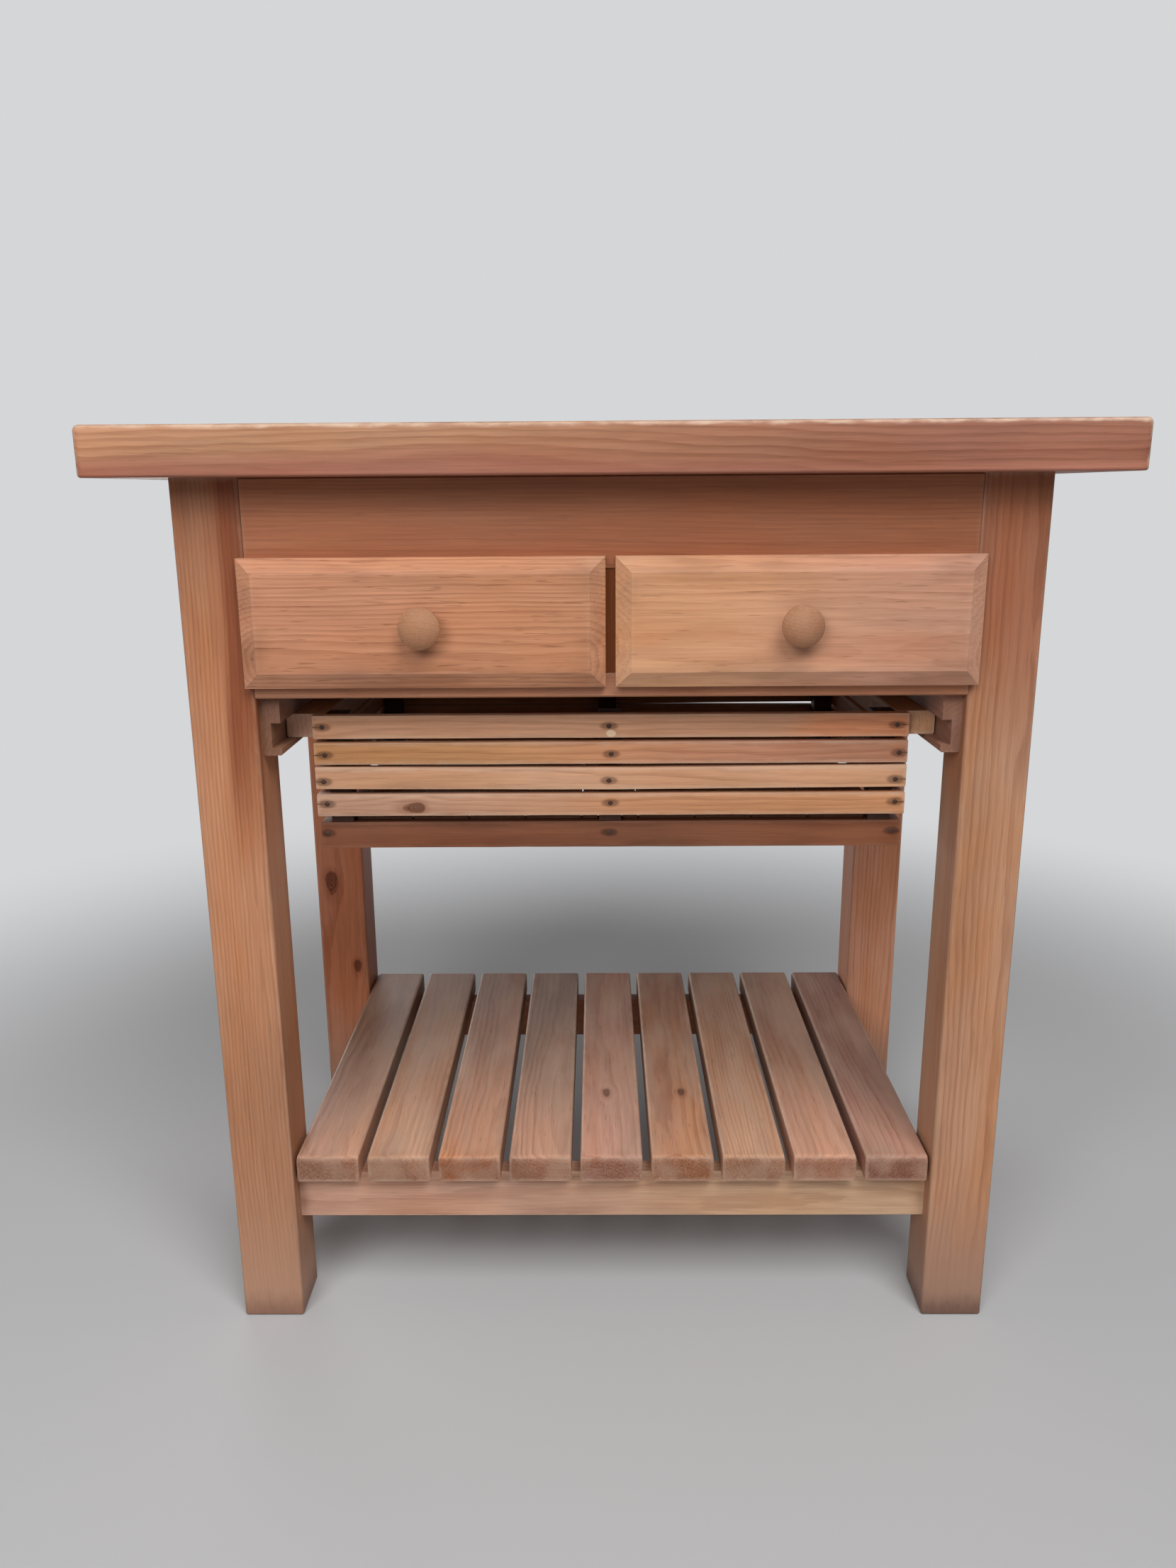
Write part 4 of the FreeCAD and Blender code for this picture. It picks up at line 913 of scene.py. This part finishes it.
def add_nail(shape, centre, outward, chance):
    """A round nail head, slightly domed and tilted, a little proud of the wood."""
    turn = outward.to_track_quat("Z", "Y").to_matrix().to_4x4()
    for axis in "XY":
        turn @= Matrix.Rotation(math.radians(chance.uniform(-NAIL_LEAN, NAIL_LEAN)), 4, axis)
    rings = []
    for share, rise in NAIL_OUTLINE:
        ring = []
        radius = share * NAIL_RADIUS
        for number in range(NAIL_SIDES):
            angle = 2 * math.pi * number / NAIL_SIDES
            point = Vector((radius * math.cos(angle), radius * math.sin(angle), rise))
            ring.append(shape.verts.new(centre + turn @ point))
        rings.append(ring)
    for first, second in zip(rings, rings[1:]):
        for number in range(NAIL_SIDES):
            following = (number + 1) % NAIL_SIDES
            shape.faces.new((first[number], first[following], second[following], second[number]))
    shape.faces.new(rings[-1])
    for face in shape.faces:
        face.smooth = True


def add_nails(node, boxes, places, material):
    """Nail heads on the outer face of front or back boards: both ends and the middle of each."""
    chance = random.Random(f"{node} heads")
    shape = bmesh.new()
    for (low, high), (reach, level, middle) in zip(boxes, places):
        front = low.y < 0
        outward = Vector((0, -1 if front else 1, 0))
        for x in (middle - reach, middle, middle + reach):
            add_nail(shape, Vector((x, low.y if front else high.y, level)), outward, chance)
    mesh = bpy.data.meshes.new(f"{node}.nails")
    shape.to_mesh(mesh)
    shape.free()
    mesh.materials.append(material)
    add_piece(f"{node}.nails", mesh, "crate")


def dress_crate():
    noise.seed_set(UNEVEN_SEED)
    material = iron()
    for row in ("front", "back"):
        slats, rail = f"crate_{row}_slats", f"crate_bottom_rail_{row}"
        boxes = solid_boxes(slats)
        # The bottom rail is nailed on like the slats and as long as they are
        long_rail = clipped(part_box(rail), 0, boxes[0][0].x, boxes[0][1].x)
        for node, kind, boards in ((slats, "crate", boxes), (rail, "rail", [long_rail])):
            places = nail_places(node, boards, "x")
            dress_slats(node, kind, "x", boards, places)
            add_nails(node, boards, places, material)
        dress_slats(f"crate_{row}_posts", "post", "z")
    for side in ("left", "right"):
        dress_slats(f"crate_{side}_slats", "crate", "y on edge")
        dress(f"crate_side_rail_{side}", "crate", "y on edge")
        dress(f"crate_bottom_rail_{side}", "rail", "y on edge")
    low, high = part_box("crate_floor_slats")
    dress("crate_floor_slats", "crate", "y", row=(low.x, (high.x - low.x) / FLOOR_SLATS))


# Floor, light and camera

FLOOR_RADIUS = 6.0
FLOOR_SIDES = 96
FLOOR_GREY = linear(188, 188, 189)
FLOOR_ROUGHNESS = 0.85
FLOOR_SHINE = 0.2
BACKGROUND_GREY = linear(213, 214, 216)
# How far from the table the floor fades into the background
FADE_START = 0.8
FADE_END = 1.9

# Lamps: place, what they point at, width in metres and power in watts
LAMPS = {
    "key_light": ((0.8, -2.25, 3.12), (0, -0.2, 0.6), 2.1, 89),
    "fill_light": ((-1.2, -2.75, 2.2), (0, -0.2, 0.5), 1.6, 48),
    "back_light": ((-1.4, 2.5, 0.9), (0, 0.2, 0.6), 1.8, 22),
}
SKY_LOW = linear(104, 105, 107)
SKY_HIGH = linear(240, 242, 245)
SKY_STRENGTH = 0.22
# Heights of the directions between which the sky turns from its low to its high colour
SKY_RISE = (-0.1, 0.9)


def background_share(tree):
    """One for rays that show the background: from the camera, off a polished surface or through glass."""
    path = tree.add("ShaderNodeLightPath").outputs
    share = tree.math("MAXIMUM", path["Is Camera Ray"], path["Is Glossy Ray"])
    return tree.math("MAXIMUM", share, path["Is Transmission Ray"])


def mix_shaders(tree, share, first, second, output):
    node = tree.add("ShaderNodeMixShader")
    for socket, given in zip(node.inputs, (share, first.outputs[0], second.outputs[0])):
        tree.feed(socket, given)
    tree.feed(output.inputs["Surface"], node.outputs[0])


def stage():
    """A plain pale floor that fades into the background away from the table."""
    shape = bmesh.new()
    bmesh.ops.create_circle(shape, cap_ends=True, segments=FLOOR_SIDES, radius=FLOOR_RADIUS)
    mesh = bpy.data.meshes.new("floor")
    shape.to_mesh(mesh)
    shape.free()
    material = bpy.data.materials.new("floor_paint")
    material.use_nodes = True
    nodes = material.node_tree.nodes
    tree = Tree(material.node_tree)
    paint = nodes["Principled BSDF"]
    paint.inputs["Base Color"].default_value = FLOOR_GREY
    paint.inputs["Roughness"].default_value = FLOOR_ROUGHNESS
    paint.inputs["Specular IOR Level"].default_value = FLOOR_SHINE
    glow = tree.add("ShaderNodeEmission")
    glow.inputs["Color"].default_value = BACKGROUND_GREY
    x, y, _ = tree.split(tree.add("ShaderNodeTexCoord").outputs["Object"])
    fade = tree.step(tree.distance(x, y), FADE_START, FADE_END)
    share = tree.math("MULTIPLY", fade, background_share(tree))
    mix_shaders(tree, share, paint, glow, nodes["Material Output"])
    mesh.materials.append(material)
    floor = bpy.data.objects.new("floor", mesh)
    bpy.context.scene.collection.objects.link(floor)


def lights():
    """Large soft lamps in front and a weaker one behind, under a sky that is dimmer low down."""
    for name, (place, aim, size, power) in LAMPS.items():
        data = bpy.data.lights.new(name, "AREA")
        data.shape = "DISK"
        data.size = size
        data.energy = power
        piece = bpy.data.objects.new(name, data)
        piece.location = place
        piece.rotation_euler = (Vector(aim) - Vector(place)).to_track_quat("-Z", "Y").to_euler()
        bpy.context.scene.collection.objects.link(piece)
    world = bpy.data.worlds.new("studio")
    world.use_nodes = True
    nodes = world.node_tree.nodes
    tree = Tree(world.node_tree)
    sky = nodes["Background"]
    height = tree.split(tree.add("ShaderNodeTexCoord").outputs["Generated"])[2]
    tree.feed(sky.inputs["Color"], tree.mix(tree.step(height, *SKY_RISE), SKY_LOW, SKY_HIGH))
    sky.inputs["Strength"].default_value = SKY_STRENGTH
    seen = tree.add("ShaderNodeBackground")
    seen.inputs["Color"].default_value = BACKGROUND_GREY
    mix_shaders(tree, background_share(tree), sky, seen, nodes["World Output"])
    bpy.context.scene.world = world


def camera():
    down, left, roll = (math.radians(angle) for angle in (CAMERA_DOWN, CAMERA_TO_LEFT, CAMERA_ROLL))
    forward = Vector((-math.sin(left) * math.cos(down), math.cos(left) * math.cos(down), -math.sin(down)))
    level = Vector((math.cos(left), math.sin(left), 0))
    upright = level.cross(forward)
    right = math.cos(roll) * level + math.sin(roll) * upright
    up = math.cos(roll) * upright - math.sin(roll) * level
    data = bpy.data.cameras.new("camera")
    data.sensor_fit = "HORIZONTAL"
    data.sensor_width = SENSOR_WIDTH
    data.lens = SENSOR_WIDTH * FOCAL_LENGTH / IMAGE_WIDTH
    piece = bpy.data.objects.new("camera", data)
    turn = Matrix((right, up, -forward)).transposed().to_4x4()
    piece.matrix_world = Matrix.Translation(CAMERA_PLACE) @ turn
    bpy.context.scene.collection.objects.link(piece)
    bpy.context.scene.camera = piece


dress_frame()
dress_drawers()
dress_crate()
stage()
lights()
camera()
bpy.context.scene.view_settings.view_transform = "Standard"
